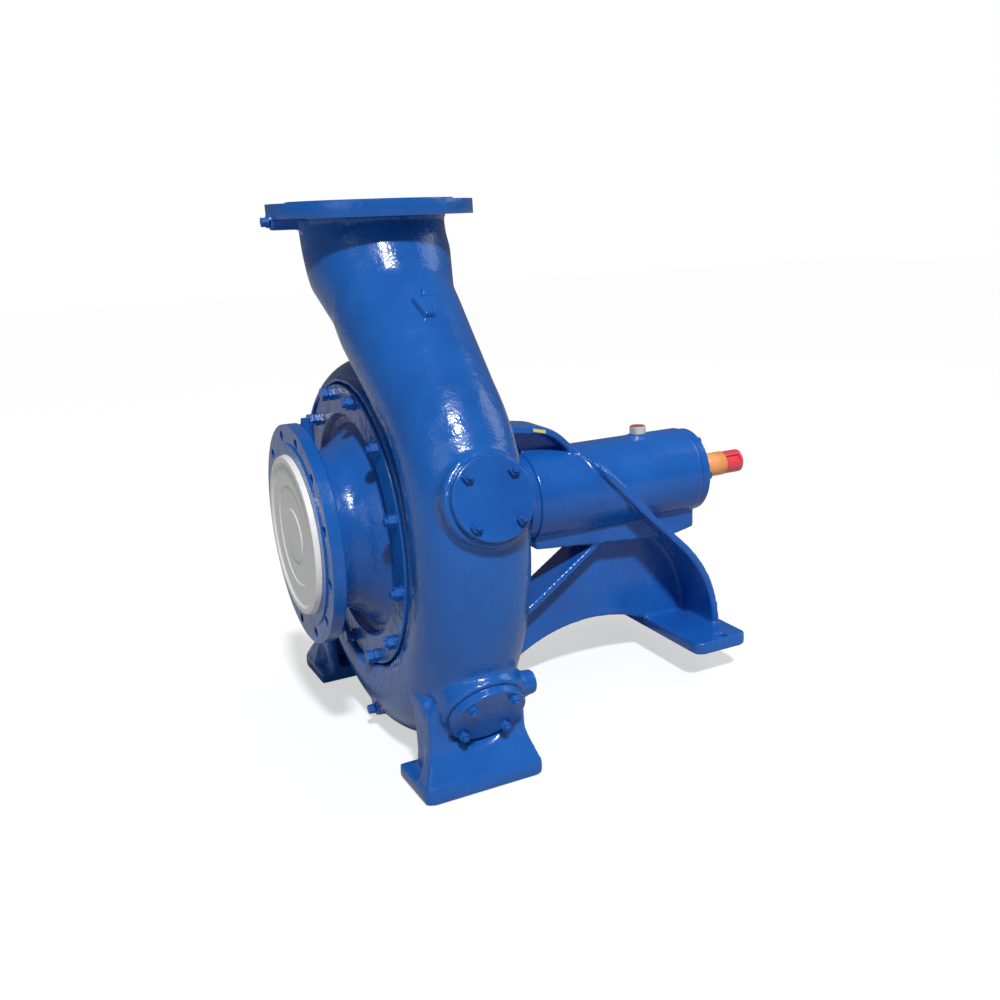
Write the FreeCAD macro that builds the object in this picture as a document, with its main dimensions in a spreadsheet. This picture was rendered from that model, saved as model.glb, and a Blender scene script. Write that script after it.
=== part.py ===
import FreeCAD, Part
import math
import os
from types import SimpleNamespace

import Sketcher

# A single-stage, end-suction volute pump for solids-handling duty, with its bearing bracket.
# +X runs along the shaft from the suction side to the drive end, +Z is up, and the near side is -Y.
# The origin is on the floor, under the middle of the discharge, at the middle of the casing feet.
# Every piece is drawn about the shaft axis and then lifted to the axis height.
# Directions round the shaft are in degrees from the top towards the near side.

SIZES = {
    # General
    "axis_height": 445,
    "thread_gap": 0.1,
    "seat_gap": 0.3,
    "running_gap": 0.35,
    "bolt_gap": 1,
    # Volute: a tube of constant section on a spiral of four centres, then an S-shaped neck
    "tube_radius": 108,
    "casing_wall": 20,
    "tongue_angle": 40,
    "spiral_start": 206,
    "spiral_step": 52.6,
    "spiral_end_angle": 75,
    "neck_tilt": 50,
    "neck_upper_tilt": 39,
    "neck_first_bend": 260,
    "neck_second_bend": 250,
    "neck_third_bend": 143,
    "neck_upper_run": 89,
    "neck_middle_radius": 120,
    "neck_upper_radius": 140,
    "chamber_half": 50,
    "side_wall": 20,
    "recess_radius": 293,
    "rim_width": 13,
    "rim_reach": 90,
    "front_opening": 240,
    "back_opening": 255,
    # Discharge flange
    "discharge_reach": 640,
    "discharge_bore": 250,
    "discharge_flange": 395,
    "discharge_thickness": 31,
    "discharge_bolt_circle": 350,
    "discharge_raised": 320,
    # Suction cover and flange
    "suction_reach": 211,
    "suction_bore": 300,
    "suction_flange": 445,
    "suction_thickness": 30,
    "suction_bolt_circle": 400,
    "suction_raised": 370,
    "nozzle_wall": 11,
    "cover_thickness": 24,
    "cover_dish_radius": 232,
    "cover_dish_depth": 18,
    "raised_height": 3,
    "flange_hole": 22,
    "flange_first_angle": 15,
    # Ring of casing studs, front and back
    "cover_bolt_circle": 545.6,
    "stud_diameter": 16,
    "stud_depth": 16,
    "stud_end": 6,
    "nut_flats": 24,
    "nut_height": 13,
    "washer_thickness": 3,
    "washer_diameter": 30,
    "lock_nut_height": 7,
    "screw_bare": 3,
    "screw_head": 11,
    "gasket_thickness": 1,
    # Wear ring and impeller
    "impeller_radius": 250,
    "impeller_gap": 3,
    "shroud_thickness": 9,
    "eye_radius": 142,
    "eye_neck_radius": 162,
    "eye_length": 36,
    "wear_ring_wall": 10,
    "vane_count": 3,
    "vane_inner": 96,
    "vane_wrap": 135,
    "vane_thickness": 12,
    "hub_radius": 46,
    # Hand covers
    "upper_cover_angle": 73.5,
    "upper_cover_face": 526,
    "lower_cover_angle": 124.3,
    "lower_cover_face": 508,
    "hand_cover_radius": 75,
    "hand_cover_thickness": 16,
    "hand_boss_radius": 84,
    "hand_hole_radius": 44,
    "hand_bolt_circle": 120,
    "hand_stud": 12,
    "hand_stud_depth": 12,
    "hand_nut_flats": 19,
    "hand_nut_height": 10,
    # Casing feet
    "foot_centre": -5,
    "foot_flare": 62,
    "foot_length": 246,
    "foot_inner": 260,
    "foot_outer": 406,
    "foot_thickness": 29,
    "foot_web_near": 350,
    "foot_web_far": 322,
    "foot_web_thickness": 30,
    "foot_web_half": 98,
    "foot_web_top": 185,
    "foot_web_far_top": 292,
    "foot_rib": 22,
    "foot_wall_depth": 50,
    "foot_hole": 26,
    "foot_hole_across": 580,
    "foot_hole_along": 100,
    # Plugs
    "plug_flats": 17,
    "plug_head": 9,
    "plug_thread": 7,
    # Bearing bracket
    "bracket_flange_thickness": 20,
    "bracket_opening": 150,
    "barrel_radius": 102,
    "barrel_start": 290,
    "barrel_end": 716,
    "oil_room_radius": 63,
    "strut_start_height": 187,
    "strut_bend_x": 352,
    "strut_bend_height": 158,
    "strut_bend_rounding": 110,
    "plate_end_x": 728,
    "plate_bend_height": -225,
    "plate_bend_rounding": 295,
    "plate_thickness": 17,
    "strut_half": 48,
    "rib_half": 112,
    "plate_half": 142,
    "lower_strut_flange_height": -262,
    "lower_strut_bend_x": 255,
    "lower_strut_bend_height": -254,
    "lower_strut_end_x": 450,
    "lower_strut_end_height": -122,
    "lower_strut_half": 50,
    "web_thickness": 16,
    "arch_middle_x": 457,
    "arch_apex_height": -269,
    "arch_rounding": 373,
    "pad_start": 605,
    "pad_end": 748,
    "pad_half": 228,
    "pad_underside": -380,
    "pad_thickness": 29,
    "pad_rounding": 24,
    "pad_hole": 22,
    "pad_hole_x": 690,
    "pad_hole_across": 406,
    "sump_half": 56,
    "sump_start_depth": 111,
    "sump_end_depth": 142,
    "sump_wall": 12,
    "filler_x": 598,
    "sump_drain_x": 520,
    "sump_drain_depth": 105,
    "filler_radius": 19,
    # Shaft
    "shaft_end": 886,
    "shaft_end_radius": 27.5,
    "shaft_end_length": 110,
    "seal_land_radius": 29.5,
    "impeller_seat_radius": 27.5,
    "impeller_seat_start": -20,
    "shaft_thread_radius": 15,
    "shaft_thread_length": 26,
    "sleeve_seat_radius": 30,
    "sleeve_radius": 38,
    "sleeve_end": 225,
    "shaft_middle_radius": 42,
    "lock_thread_radius": 30,
    "lock_thread_length": 16,
    "key_width": 16,
    "key_height": 10,
    "key_length": 50,
    "key_start": -12,
    "coupling_key_width": 16,
    "coupling_key_height": 10,
    "coupling_key_length": 90,
    "coupling_key_angle": 60,
    # Stuffing box
    "box_radius": 54,
    "box_outer": 80,
    "box_start": 70,
    "box_end": 190,
    "box_flange": 95,
    "packing_width": 16,
    "packing_rings": 5,
    "gland_travel": 6,
    "gland_flange_thickness": 16,
    "gland_bolt_circle": 158,
    "gland_stud": 12,
    "gland_nut_flats": 18,
    "gland_nut_height": 10,
    "thrower_radius": 62,
    # Bearings and their covers
    "roller_bearing_bore": 70,
    "roller_bearing_outside": 150,
    "roller_bearing_width": 35,
    "roller_diameter": 19,
    "roller_length": 23,
    "roller_count": 13,
    "ball_bearing_bore": 65,
    "ball_bearing_outside": 140,
    "ball_bearing_width": 33,
    "ball_diameter": 22,
    "ball_count": 9,
    "bearing_cover_radius": 98,
    "bearing_cover_thickness": 20,
    "bearing_cover_circle": 172,
    "bearing_screw": 10,
    "bearing_screw_flats": 16,
    "bearing_screw_head": 7,
    "bearing_screw_depth": 18,
    "seal_outer": 42,
    "pump_seal_outer": 50,
    "seal_width": 12,
    # Protective cap
    "cap_lip": 163,
    "cap_skirt": 22,
    "cap_wall": 4,
}

doc = FreeCAD.newDocument("VolutePump")
sheet = doc.addObject("Spreadsheet::Sheet", "Sizes")
for row, (name, value) in enumerate(SIZES.items(), start=1):
    sheet.set(f"A{row}", name)
    sheet.set(f"B{row}", str(value))
    sheet.setAlias(f"B{row}", name)
doc.recompute()


class Size:
    """A number that remembers the formula over the sheet's cells that gives it."""

    def __init__(self, value, formula):
        self.value = float(value)
        self.formula = formula

    def __add__(self, other):
        other = as_size(other)
        return Size(self.value + other.value, f"({self.formula} + {other.formula})")

    def __sub__(self, other):
        other = as_size(other)
        return Size(self.value - other.value, f"({self.formula} - {other.formula})")

    def __mul__(self, other):
        other = as_size(other)
        return Size(self.value * other.value, f"({self.formula} * {other.formula})")

    def __truediv__(self, other):
        other = as_size(other)
        return Size(self.value / other.value, f"({self.formula} / {other.formula})")

    def __radd__(self, other):
        return as_size(other) + self

    def __rsub__(self, other):
        return as_size(other) - self

    def __rmul__(self, other):
        return as_size(other) * self

    def __neg__(self):
        return Size(-self.value, f"(0 - {self.formula})")


def as_size(number):
    if isinstance(number, Size):
        return number
    return Size(number, f"({number:.10g})")


def sine(angle):
    angle = as_size(angle)
    return Size(math.sin(math.radians(angle.value)), f"sin({angle.formula} * 1 deg)")


def cosine(angle):
    angle = as_size(angle)
    return Size(math.cos(math.radians(angle.value)), f"cos({angle.formula} * 1 deg)")


d = SimpleNamespace(**{name: Size(sheet.get(name), f"Sizes.{name}") for name in SIZES})
pieces = []


def bind(target, property_name, size):
    """Set a property from the sheet and keep it bound to it."""
    size = as_size(size)
    if "." not in property_name:
        setattr(target, property_name, size.value)
    target.setExpression(property_name, size.formula)


def new_body(label, turn=0):
    """Start a piece whose own frame sits on the shaft axis, turned about the shaft."""
    body = doc.addObject("PartDesign::Body", label)
    body.Label = label
    body.AllowCompound = True
    place = f"placement(vector(0; 0; {d.axis_height.formula}); vector(1; 0; 0); {as_size(turn).formula})"
    body.setExpression("Placement", place)
    pieces.append(body)
    return body


def new_sketch(body, name, role, start=0, y=0, z=0, turn=0):
    """A sketch on an origin plane, moved along its normal, or set across the shaft plane at a point."""
    sketch = body.newObject("Sketcher::SketchObject", name)
    plane = next(item for item in body.Origin.OriginFeatures if item.Role == role)
    sketch.AttachmentSupport = [(plane, "")]
    sketch.MapMode = "FlatFace"
    if role == "XZ_Plane":
        base = f"vector(0; {as_size(z).formula}; {(as_size(start) - y).formula})"
    else:
        base = f"vector(0; {as_size(y).formula}; {(as_size(start) + z).formula})"
    sketch.setExpression("AttachmentOffset", f"placement({base}; vector(1; 0; 0); {as_size(turn).formula})")
    return sketch


def constrain(sketch, constraints, sizes):
    """Add the constraints and bind those that carry a size; a size of None marks a plain one."""
    first = sketch.ConstraintCount
    sketch.addConstraint(constraints)
    for offset, size in enumerate(sizes):
        if size is not None and "Sizes." in size.formula:
            sketch.setExpression(f"Constraints[{first + offset}]", size.formula)


def draw_outline(sketch, corners):
    """Draw a closed outline of straight runs. A corner is (u, v) or (u, v, rounding radius)."""
    points = [(as_size(c[0]), as_size(c[1])) for c in corners]
    radii = [as_size(c[2]) if len(c) > 2 else None for c in corners]
    count = len(corners)
    flat = [FreeCAD.Vector(u.value, v.value, 0) for u, v in points]
    enter = []
    leave = []
    for i in range(count):
        back = (flat[i - 1] - flat[i]).normalize()
        ahead = (flat[(i + 1) % count] - flat[i]).normalize()
        if radii[i] is None:
            enter.append(flat[i])
            leave.append(flat[i])
        else:
            half = back.getAngle(ahead) / 2
            run = radii[i].value / math.tan(half)
            enter.append(flat[i] + back * run)
            leave.append(flat[i] + ahead * run)
    first = sketch.GeometryCount
    sketch.addGeometry([Part.LineSegment(leave[i], enter[(i + 1) % count]) for i in range(count)], False)
    constraints = []
    sizes = []
    for i in range(count):
        before = first + (i - 1) % count
        after = first + i
        if radii[i] is None:
            held = (after, 1)
            constraints.append(Sketcher.Constraint("Coincident", before, 2, after, 1))
            sizes.append(None)
        else:
            back = (flat[i - 1] - flat[i]).normalize()
            ahead = (flat[(i + 1) % count] - flat[i]).normalize()
            reach = radii[i].value / math.sin(back.getAngle(ahead) / 2)
            centre = flat[i] + (back + ahead).normalize() * reach
            left_turn = back.cross(ahead).z < 0
            start, end = (enter[i], leave[i]) if left_turn else (leave[i], enter[i])
            angles = [math.atan2(p.y - centre.y, p.x - centre.x) for p in (start, end)]
            circle = Part.Circle(centre, FreeCAD.Vector(0, 0, 1), radii[i].value)
            arc = sketch.addGeometry(Part.ArcOfCircle(circle, angles[0], angles[1]), False)
            mark = sketch.addGeometry(Part.Point(flat[i]), True)
            held = (mark, 1)
            near, far = (1, 2) if left_turn else (2, 1)
            constraints += [
                Sketcher.Constraint("Tangent", before, 2, arc, near),
                Sketcher.Constraint("Tangent", after, 1, arc, far),
                Sketcher.Constraint("PointOnObject", mark, 1, before),
                Sketcher.Constraint("PointOnObject", mark, 1, after),
                Sketcher.Constraint("Radius", arc, radii[i].value),
            ]
            sizes += [None, None, None, None, radii[i]]
        constraints.append(Sketcher.Constraint("DistanceX", -1, 1, held[0], held[1], flat[i].x))
        constraints.append(Sketcher.Constraint("DistanceY", -1, 1, held[0], held[1], flat[i].y))
        sizes += [points[i][0], points[i][1]]
    constrain(sketch, constraints, sizes)


def draw_circles(sketch, centres, radius):
    radius = as_size(radius)
    for u, v in centres:
        u, v = as_size(u), as_size(v)
        circle = Part.Circle(FreeCAD.Vector(u.value, v.value, 0), FreeCAD.Vector(0, 0, 1), radius.value)
        index = sketch.addGeometry(circle, False)
        constraints = [
            Sketcher.Constraint("DistanceX", -1, 1, index, 3, u.value),
            Sketcher.Constraint("DistanceY", -1, 1, index, 3, v.value),
            Sketcher.Constraint("Radius", index, radius.value),
        ]
        constrain(sketch, constraints, [u, v, radius])


def draw_hexagons(sketch, centres, flats):
    corner = as_size(flats) / (2 * cosine(30))
    for u, v in centres:
        draw_outline(sketch, [(u + corner * cosine(60 * k), v + corner * sine(60 * k)) for k in range(6)])


def pad(sketch, length):
    feature = sketch.getParent().newObject("PartDesign::Pad", sketch.Name + "_pad")
    feature.Profile = sketch
    bind(feature, "Length", length)
    return feature


def cut(sketch, length):
    """Cut away from the sketch along its own normal."""
    feature = sketch.getParent().newObject("PartDesign::Pocket", sketch.Name + "_cut")
    feature.Profile = sketch
    feature.Reversed = True
    bind(feature, "Length", length)
    return feature


def turn(sketch, kind="Revolution", axis="H_Axis"):
    feature = sketch.getParent().newObject("PartDesign::" + kind, sketch.Name + "_turned")
    feature.Profile = sketch
    feature.ReferenceAxis = (sketch, [axis])
    feature.Angle = 360
    return feature


def turned(label, corners):
    """A piece turned about the shaft axis from an outline of (x, radius) corners."""
    body = new_body(label)
    turned_feature(body, label + "_profile", corners)
    return body


def turned_feature(body, name, corners, kind="Revolution"):
    sketch = new_sketch(body, name, "XZ_Plane")
    draw_outline(sketch, corners)
    return turn(sketch, kind)


def around(circle, angles):
    """Places on a circle about the shaft, as sketch coordinates on a plane across the shaft."""
    radius = as_size(circle) / 2
    return [(-(radius * sine(a)), radius * cosine(a)) for a in angles]


def across(body, name, start):
    """A sketch on a plane across the shaft, which faces the drive end."""
    return new_sketch(body, name, "YZ_Plane", start=start)


def rods(body, name, start, length, places, radius):
    sketch = across(body, name, start)
    draw_circles(sketch, places, radius)
    return pad(sketch, length)


def holes(body, name, start, length, places, radius):
    sketch = across(body, name, start)
    draw_circles(sketch, places, radius)
    return cut(sketch, length)


def hexes(body, name, start, length, places, flats):
    sketch = across(body, name, start)
    draw_hexagons(sketch, places, flats)
    return pad(sketch, length)


flange_angles = [d.flange_first_angle + 30 * k for k in range(12)]
adjusting_angles = [-45, -15, 165, 195]
stud_angles = [15, 45, 75, 105, 135, 225, 255, 285]
back_angles = [15 + 30 * k for k in range(12)]
cover_screw_angles = [30 + 60 * k for k in range(6)]

# Planes across the shaft that several pieces share
front_seat = -(d.chamber_half + d.side_wall)
back_seat = d.chamber_half + d.side_wall
ring_face = front_seat - d.cover_thickness
bracket_seat = back_seat + d.gasket_thickness + d.cover_thickness - 2
bracket_face = bracket_seat + d.bracket_flange_thickness
dish_floor = ring_face + d.cover_dish_depth
floor_level = -d.axis_height

# Bearing seats
roller_seat_end = d.barrel_start + 76
roller_seat_start = roller_seat_end - d.roller_bearing_width
ball_seat_end = d.barrel_end - 10
ball_seat_start = ball_seat_end - 2 * d.ball_bearing_width


def spiral_arcs():
    """The four arcs of the volute's centre line: centre, radius, first and last direction.

    Each arc starts where the one before it ends, on a radius larger by one step, and its centre
    lies back by that step, so the line stays smooth. The centres stand on a square round the shaft.
    """
    first = d.tongue_angle
    towards = [(-sine(first - 90 * k), cosine(first - 90 * k)) for k in (1, 2, 3)]
    y = (towards[0][0] + towards[1][0]) * d.spiral_step / 2
    z = (towards[0][1] + towards[1][1]) * d.spiral_step / 2
    radius = d.spiral_start + d.spiral_step / 2
    arcs = []
    for k in range(4):
        last = first - 90 * (k + 1) if k < 3 else d.spiral_end_angle - 360
        arcs.append((y, z, radius, first - 90 * k, last))
        if k < 3:
            y = y - towards[k][0] * d.spiral_step
            z = z - towards[k][1] * d.spiral_step
            radius = radius + d.spiral_step
    return arcs


def bend(body, name, cutting, centre, radius, start, sweep, tube, backwards):
    """Part of a round tube about a line along X: the tube's circle turned through the sweep."""
    sketch = new_sketch(body, name, "XZ_Plane", y=centre[0], z=centre[1], turn=start)
    draw_circles(sketch, [(0, radius)], tube)
    feature = turn(sketch, "Groove" if cutting else "Revolution")
    bind(feature, "Angle", sweep)
    feature.Reversed = backwards
    return feature


def cone(body, name, cutting, place, tilt, length, first, last):
    """A straight, slightly tapered stretch of tube that leans away from the near side by the tilt."""
    kind = "PartDesign::SubtractiveCone" if cutting else "PartDesign::AdditiveCone"
    feature = body.newObject(kind, name)
    bind(feature, "Radius1", first)
    bind(feature, "Radius2", last)
    bind(feature, "Height", length)
    base = f"vector(0; {as_size(place[0]).formula}; {as_size(place[1]).formula})"
    feature.setExpression("Placement", f"placement({base}; vector(1; 0; 0); {as_size(-tilt).formula})")
    return feature


def volute_tubes(body, name, cutting, wall):
    """The spiral tube and the S-neck, outside or inside by the wall that is taken off."""
    tube = d.tube_radius - wall
    middle = d.neck_middle_radius - wall
    upper = d.neck_upper_radius - wall
    mouth = d.discharge_bore / 2 + d.casing_wall - wall
    arcs = spiral_arcs()
    for k, (y, z, radius, first, last) in enumerate(arcs):
        bend(body, f"{name}_spiral_{k}", cutting, (y, z), radius, first, first - last, tube, True)

    # The neck leaves the spiral smoothly, leans over to the far side and straightens under the flange.
    y, z, radius, first, last = arcs[-1]
    start = d.spiral_end_angle
    y = y - radius * sine(start)
    z = z + radius * cosine(start)
    tilt = d.neck_tilt
    lean = 90 - start
    r1 = d.neck_first_bend
    bend(body, name + "_neck_1", cutting, (y + r1 * sine(start), z - r1 * cosine(start)), r1, start,
         tilt - lean, tube, True)
    y = y + r1 * (cosine(lean) - cosine(tilt))
    z = z + r1 * (sine(tilt) - sine(lean))
    r2 = d.neck_second_bend
    r3 = d.neck_third_bend
    top_tilt = d.neck_upper_tilt
    reach = r2 * (cosine(top_tilt) - cosine(tilt)) + d.neck_upper_run * sine(top_tilt)
    run = (-y - reach - r3 * (1 - cosine(top_tilt))) / sine(tilt)
    cone(body, name + "_neck_2", cutting, (y, z), tilt, run, tube, middle)
    y = y + run * sine(tilt)
    z = z + run * cosine(tilt)
    bend(body, name + "_neck_3", cutting, (y - r2 * cosine(tilt), z + r2 * sine(tilt)), r2, -90 - tilt,
         tilt - top_tilt, middle, False)
    y = y + r2 * (cosine(top_tilt) - cosine(tilt))
    z = z + r2 * (sine(tilt) - sine(top_tilt))
    cone(body, name + "_neck_4", cutting, (y, z), top_tilt, d.neck_upper_run, middle, upper)
    y = y + d.neck_upper_run * sine(top_tilt)
    z = z + d.neck_upper_run * cosine(top_tilt)
    bend(body, name + "_neck_5", cutting, (y - r3 * cosine(top_tilt), z + r3 * sine(top_tilt)), r3,
         -90 - top_tilt, top_tilt, upper, False)
    z = z + r3 * sine(top_tilt)
    top = d.discharge_reach - d.discharge_thickness
    cone(body, name + "_neck_6", cutting, (0, z), 0, top - z + 2, upper, mouth)


def spiral_plate(body, name, half, cutting):
    """The flat-sided chamber that follows the spiral out to the middle of the tube."""
    sketch = across(body, name, -half)
    arcs = spiral_arcs()
    for y, z, radius, first, last in arcs:
        circle = Part.Circle(FreeCAD.Vector(y.value, z.value, 0), FreeCAD.Vector(0, 0, 1), radius.value)
        sketch.addGeometry(Part.ArcOfCircle(circle, math.radians(90 + as_size(last).value),
                                            math.radians(90 + as_size(first).value)), False)
    ends = []
    for y, z, radius, angle in (arcs[0][:4], arcs[3][:3] + (arcs[3][4],)):
        ends.append(FreeCAD.Vector((y - radius * sine(angle)).value, (z + radius * cosine(angle)).value, 0))
    sketch.addGeometry(Part.LineSegment(ends[0], ends[1]), False)
    return cut(sketch, 2 * half) if cutting else pad(sketch, 2 * half)


def radial_sketch(body, name, angle, distance, across_y=0):
    """A sketch square to a radius of the casing, at a distance from the shaft axis."""
    y = -(as_size(distance) * sine(angle)) + as_size(across_y) * cosine(angle)
    z = as_size(distance) * cosine(angle) + as_size(across_y) * sine(angle)
    return new_sketch(body, name, "XY_Plane", y=y, z=z, turn=angle)


def volute_casing():
    casing = new_body("volute_casing")
    casing_feet(casing)
    volute_tubes(casing, "outside", False, 0)
    spiral_plate(casing, "side_walls", d.chamber_half + 15, False)

    flange_back = d.discharge_reach - d.discharge_thickness
    sketch = new_sketch(casing, "discharge_flange", "XY_Plane", start=flange_back)
    draw_circles(sketch, [(0, 0)], d.discharge_flange / 2)
    pad(sketch, d.discharge_thickness - d.raised_height)
    raised_start = d.discharge_reach - d.raised_height
    sketch = new_sketch(casing, "discharge_raised_face", "XY_Plane", start=raised_start)
    draw_circles(sketch, [(0, 0)], d.discharge_raised / 2)
    pad(sketch, d.raised_height)

    casing_bosses(casing)

    # The recesses for the suction cover, in front, and for the casing cover, behind
    rim = d.recess_radius + d.rim_width
    deep = d.tube_radius + d.casing_wall - back_seat
    holes(casing, "front_recess", front_seat - deep, deep, [(0, 0)], d.recess_radius)
    holes(casing, "back_recess", back_seat, deep, [(0, 0)], d.recess_radius)

    volute_tubes(casing, "inside", True, d.casing_wall)
    spiral_plate(casing, "chamber", d.chamber_half, True)
    turned_feature(casing, "front_wall", [
        (-d.chamber_half, d.front_opening), (-d.chamber_half, rim), (-d.rim_reach, rim),
        (-d.rim_reach, d.recess_radius), (front_seat, d.recess_radius), (front_seat, d.front_opening)])
    turned_feature(casing, "back_wall", [
        (d.chamber_half, d.back_opening), (d.chamber_half, rim), (d.rim_reach, rim),
        (d.rim_reach, d.recess_radius), (back_seat, d.recess_radius), (back_seat, d.back_opening)])
    holes(casing, "front_opening", front_seat - 1, d.side_wall + 2, [(0, 0)], d.front_opening)
    holes(casing, "back_opening", back_seat - d.side_wall - 1, d.side_wall + 2, [(0, 0)], d.back_opening)

    sketch = new_sketch(casing, "discharge_mouth", "XY_Plane", start=flange_back)
    draw_circles(sketch, [(0, 0)], d.discharge_bore / 2)
    cut(sketch, d.discharge_thickness)
    sketch = new_sketch(casing, "discharge_holes", "XY_Plane", start=flange_back)
    draw_circles(sketch, around(d.discharge_bolt_circle, flange_angles), d.flange_hole / 2)
    cut(sketch, d.discharge_thickness)

    tapped = d.stud_diameter / 2 + d.thread_gap
    holes(casing, "cover_threads", front_seat, d.stud_depth, around(d.cover_bolt_circle, stud_angles), tapped)
    holes(casing, "bracket_threads", back_seat - d.stud_depth, d.stud_depth,
          around(d.cover_bolt_circle, back_angles), tapped)
    for name, angle, face in (("upper", d.upper_cover_angle, d.upper_cover_face),
                              ("lower", d.lower_cover_angle, d.lower_cover_face)):
        seat = face - d.hand_cover_thickness - d.gasket_thickness
        sketch = radial_sketch(casing, name + "_hand_hole", angle, seat - 60)
        draw_circles(sketch, [(0, 0)], d.hand_hole_radius)
        cut(sketch, 60)
        sketch = radial_sketch(casing, name + "_threads", angle, seat - d.hand_stud_depth)
        draw_circles(sketch, around(d.hand_bolt_circle, [45, 135, 225, 315]), d.hand_stud / 2 + d.thread_gap)
        cut(sketch, d.hand_stud_depth)
    seat = d.lower_cover_face - d.hand_cover_thickness - d.gasket_thickness
    sketch = radial_sketch(casing, "lower_spot_face", d.lower_cover_angle, seat)
    draw_circles(sketch, [(0, 0)], d.hand_boss_radius + 1)
    cut(sketch, 40)
    plug_threads(casing)
    return casing


def casing_feet(casing):
    """Two pads under the volute, each with an upright web, flared at its foot, and two side walls."""
    start = d.foot_centre - d.foot_length / 2
    end = d.foot_centre + d.foot_length / 2
    sketch = new_sketch(casing, "foot_pads", "XY_Plane", start=floor_level)
    for side in (-1, 1):
        draw_outline(sketch, [
            (start, d.foot_inner * side), (start, d.foot_outer * side, 18),
            (end, d.foot_outer * side, 18), (end, d.foot_inner * side)])
    pad(sketch, d.foot_thickness)
    low = floor_level + d.foot_thickness / 2
    pad_top = floor_level + d.foot_thickness
    left = d.foot_centre - d.foot_web_half
    right = d.foot_centre + d.foot_web_half
    flare = pad_top + d.foot_flare
    for side, name, web, height in ((-1, "near", d.foot_web_near, d.foot_web_top),
                                    (1, "far", d.foot_web_far, d.foot_web_far_top)):
        top = floor_level + height
        first = web - 1 if side < 0 else -(d.foot_outer + 1)
        face = web + d.foot_web_thickness
        edge = d.foot_outer - 5
        sketch = across(casing, name + "_foot_web", start + 4)
        draw_outline(sketch, [
            (web * side, low), (edge * side, low), (edge * side, pad_top + 4), (face * side, flare, 100),
            (face * side, top), (web * side, top)])
        pad(sketch, d.foot_length - 8)
        sketch = new_sketch(casing, name + "_foot_sides", "XZ_Plane", start=first)
        for corner, limit, out in ((left, start, -1), (right, end, 1)):
            draw_outline(sketch, [
                (corner - 50 * out, top), (corner, top, 34), (corner, flare, 90), (limit - 4 * out, pad_top),
                (limit + 4 * out, pad_top), (limit + 4 * out, top + 4), (corner - 50 * out, top + 4)])
        cut(sketch, d.foot_outer - web + 2)
        for wall, place in (("left", left), ("right", right - d.foot_rib)):
            sketch = across(casing, f"{name}_{wall}_foot_wall", place)
            inner = web - d.foot_wall_depth
            draw_outline(sketch, [
                ((inner - 16) * side, low), ((web + 2) * side, low), ((web + 2) * side, top),
                ((inner - 6) * side, top), (inner * side, pad_top + 46, 60), ((inner - 16) * side, pad_top)])
            pad(sketch, d.foot_rib)
    sketch = new_sketch(casing, "foot_holes", "XY_Plane", start=floor_level)
    draw_circles(sketch, foot_hole_places(), d.foot_hole / 2)
    cut(sketch, d.foot_thickness)


def foot_hole_places():
    return [(d.foot_hole_along * (i / 2), d.foot_hole_across * (j / 2)) for i in (-1, 1) for j in (-1, 1)]


# Small bosses: each has a place on the casing and a direction
drain_y = -30
drain_z = floor_level + 46
drain_start = -60
drain_face = -98
discharge_gauge_z = d.discharge_reach - d.discharge_thickness - 4
discharge_gauge_face = -201
lug_y = -395
lug_z = -250


def casing_bosses(casing):
    """Raised seats of the two hand covers, of the drain and gauge plugs and of the cast lugs."""
    for name, angle, face in (("upper", d.upper_cover_angle, d.upper_cover_face),
                              ("lower", d.lower_cover_angle, d.lower_cover_face)):
        seat = face - d.hand_cover_thickness - d.gasket_thickness
        sketch = radial_sketch(casing, name + "_boss", angle, seat - 55)
        draw_circles(sketch, [(0, 0)], d.hand_boss_radius)
        pad(sketch, 55)
    rods(casing, "drain_boss", drain_face, drain_start - drain_face, [(drain_y, drain_z)], 17)
    rods(casing, "discharge_gauge_boss", discharge_gauge_face, 70, [(0, discharge_gauge_z)], 16)
    rods(casing, "back_lug", 40, 66, [(lug_y, lug_z)], 24)
    sketch = across(casing, "neck_lug", -22)
    draw_outline(sketch, [(-240, 428, 4), (-222, 476, 4), (-150, 476), (-150, 428)])
    pad(sketch, 58)


def plug_threads(casing):
    hole = d.plug_thread + d.thread_gap
    holes(casing, "drain_thread", drain_face, 22, [(drain_y, drain_z)], hole)
    holes(casing, "discharge_gauge_thread", discharge_gauge_face, 22, [(0, discharge_gauge_z)], hole)


def plug(label, face, place):
    """A hexagon plug that screws in along +X; its collar seats on the boss."""
    body = new_body(label)
    rods(body, label + "_shank", face, 18, [place], d.plug_thread)
    rods(body, label + "_collar", face - 3, 3, [place], d.plug_flats / 2 + 2)
    hexes(body, label + "_head", face - 3 - d.plug_head, d.plug_head, [place], d.plug_flats)
    return body


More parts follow.
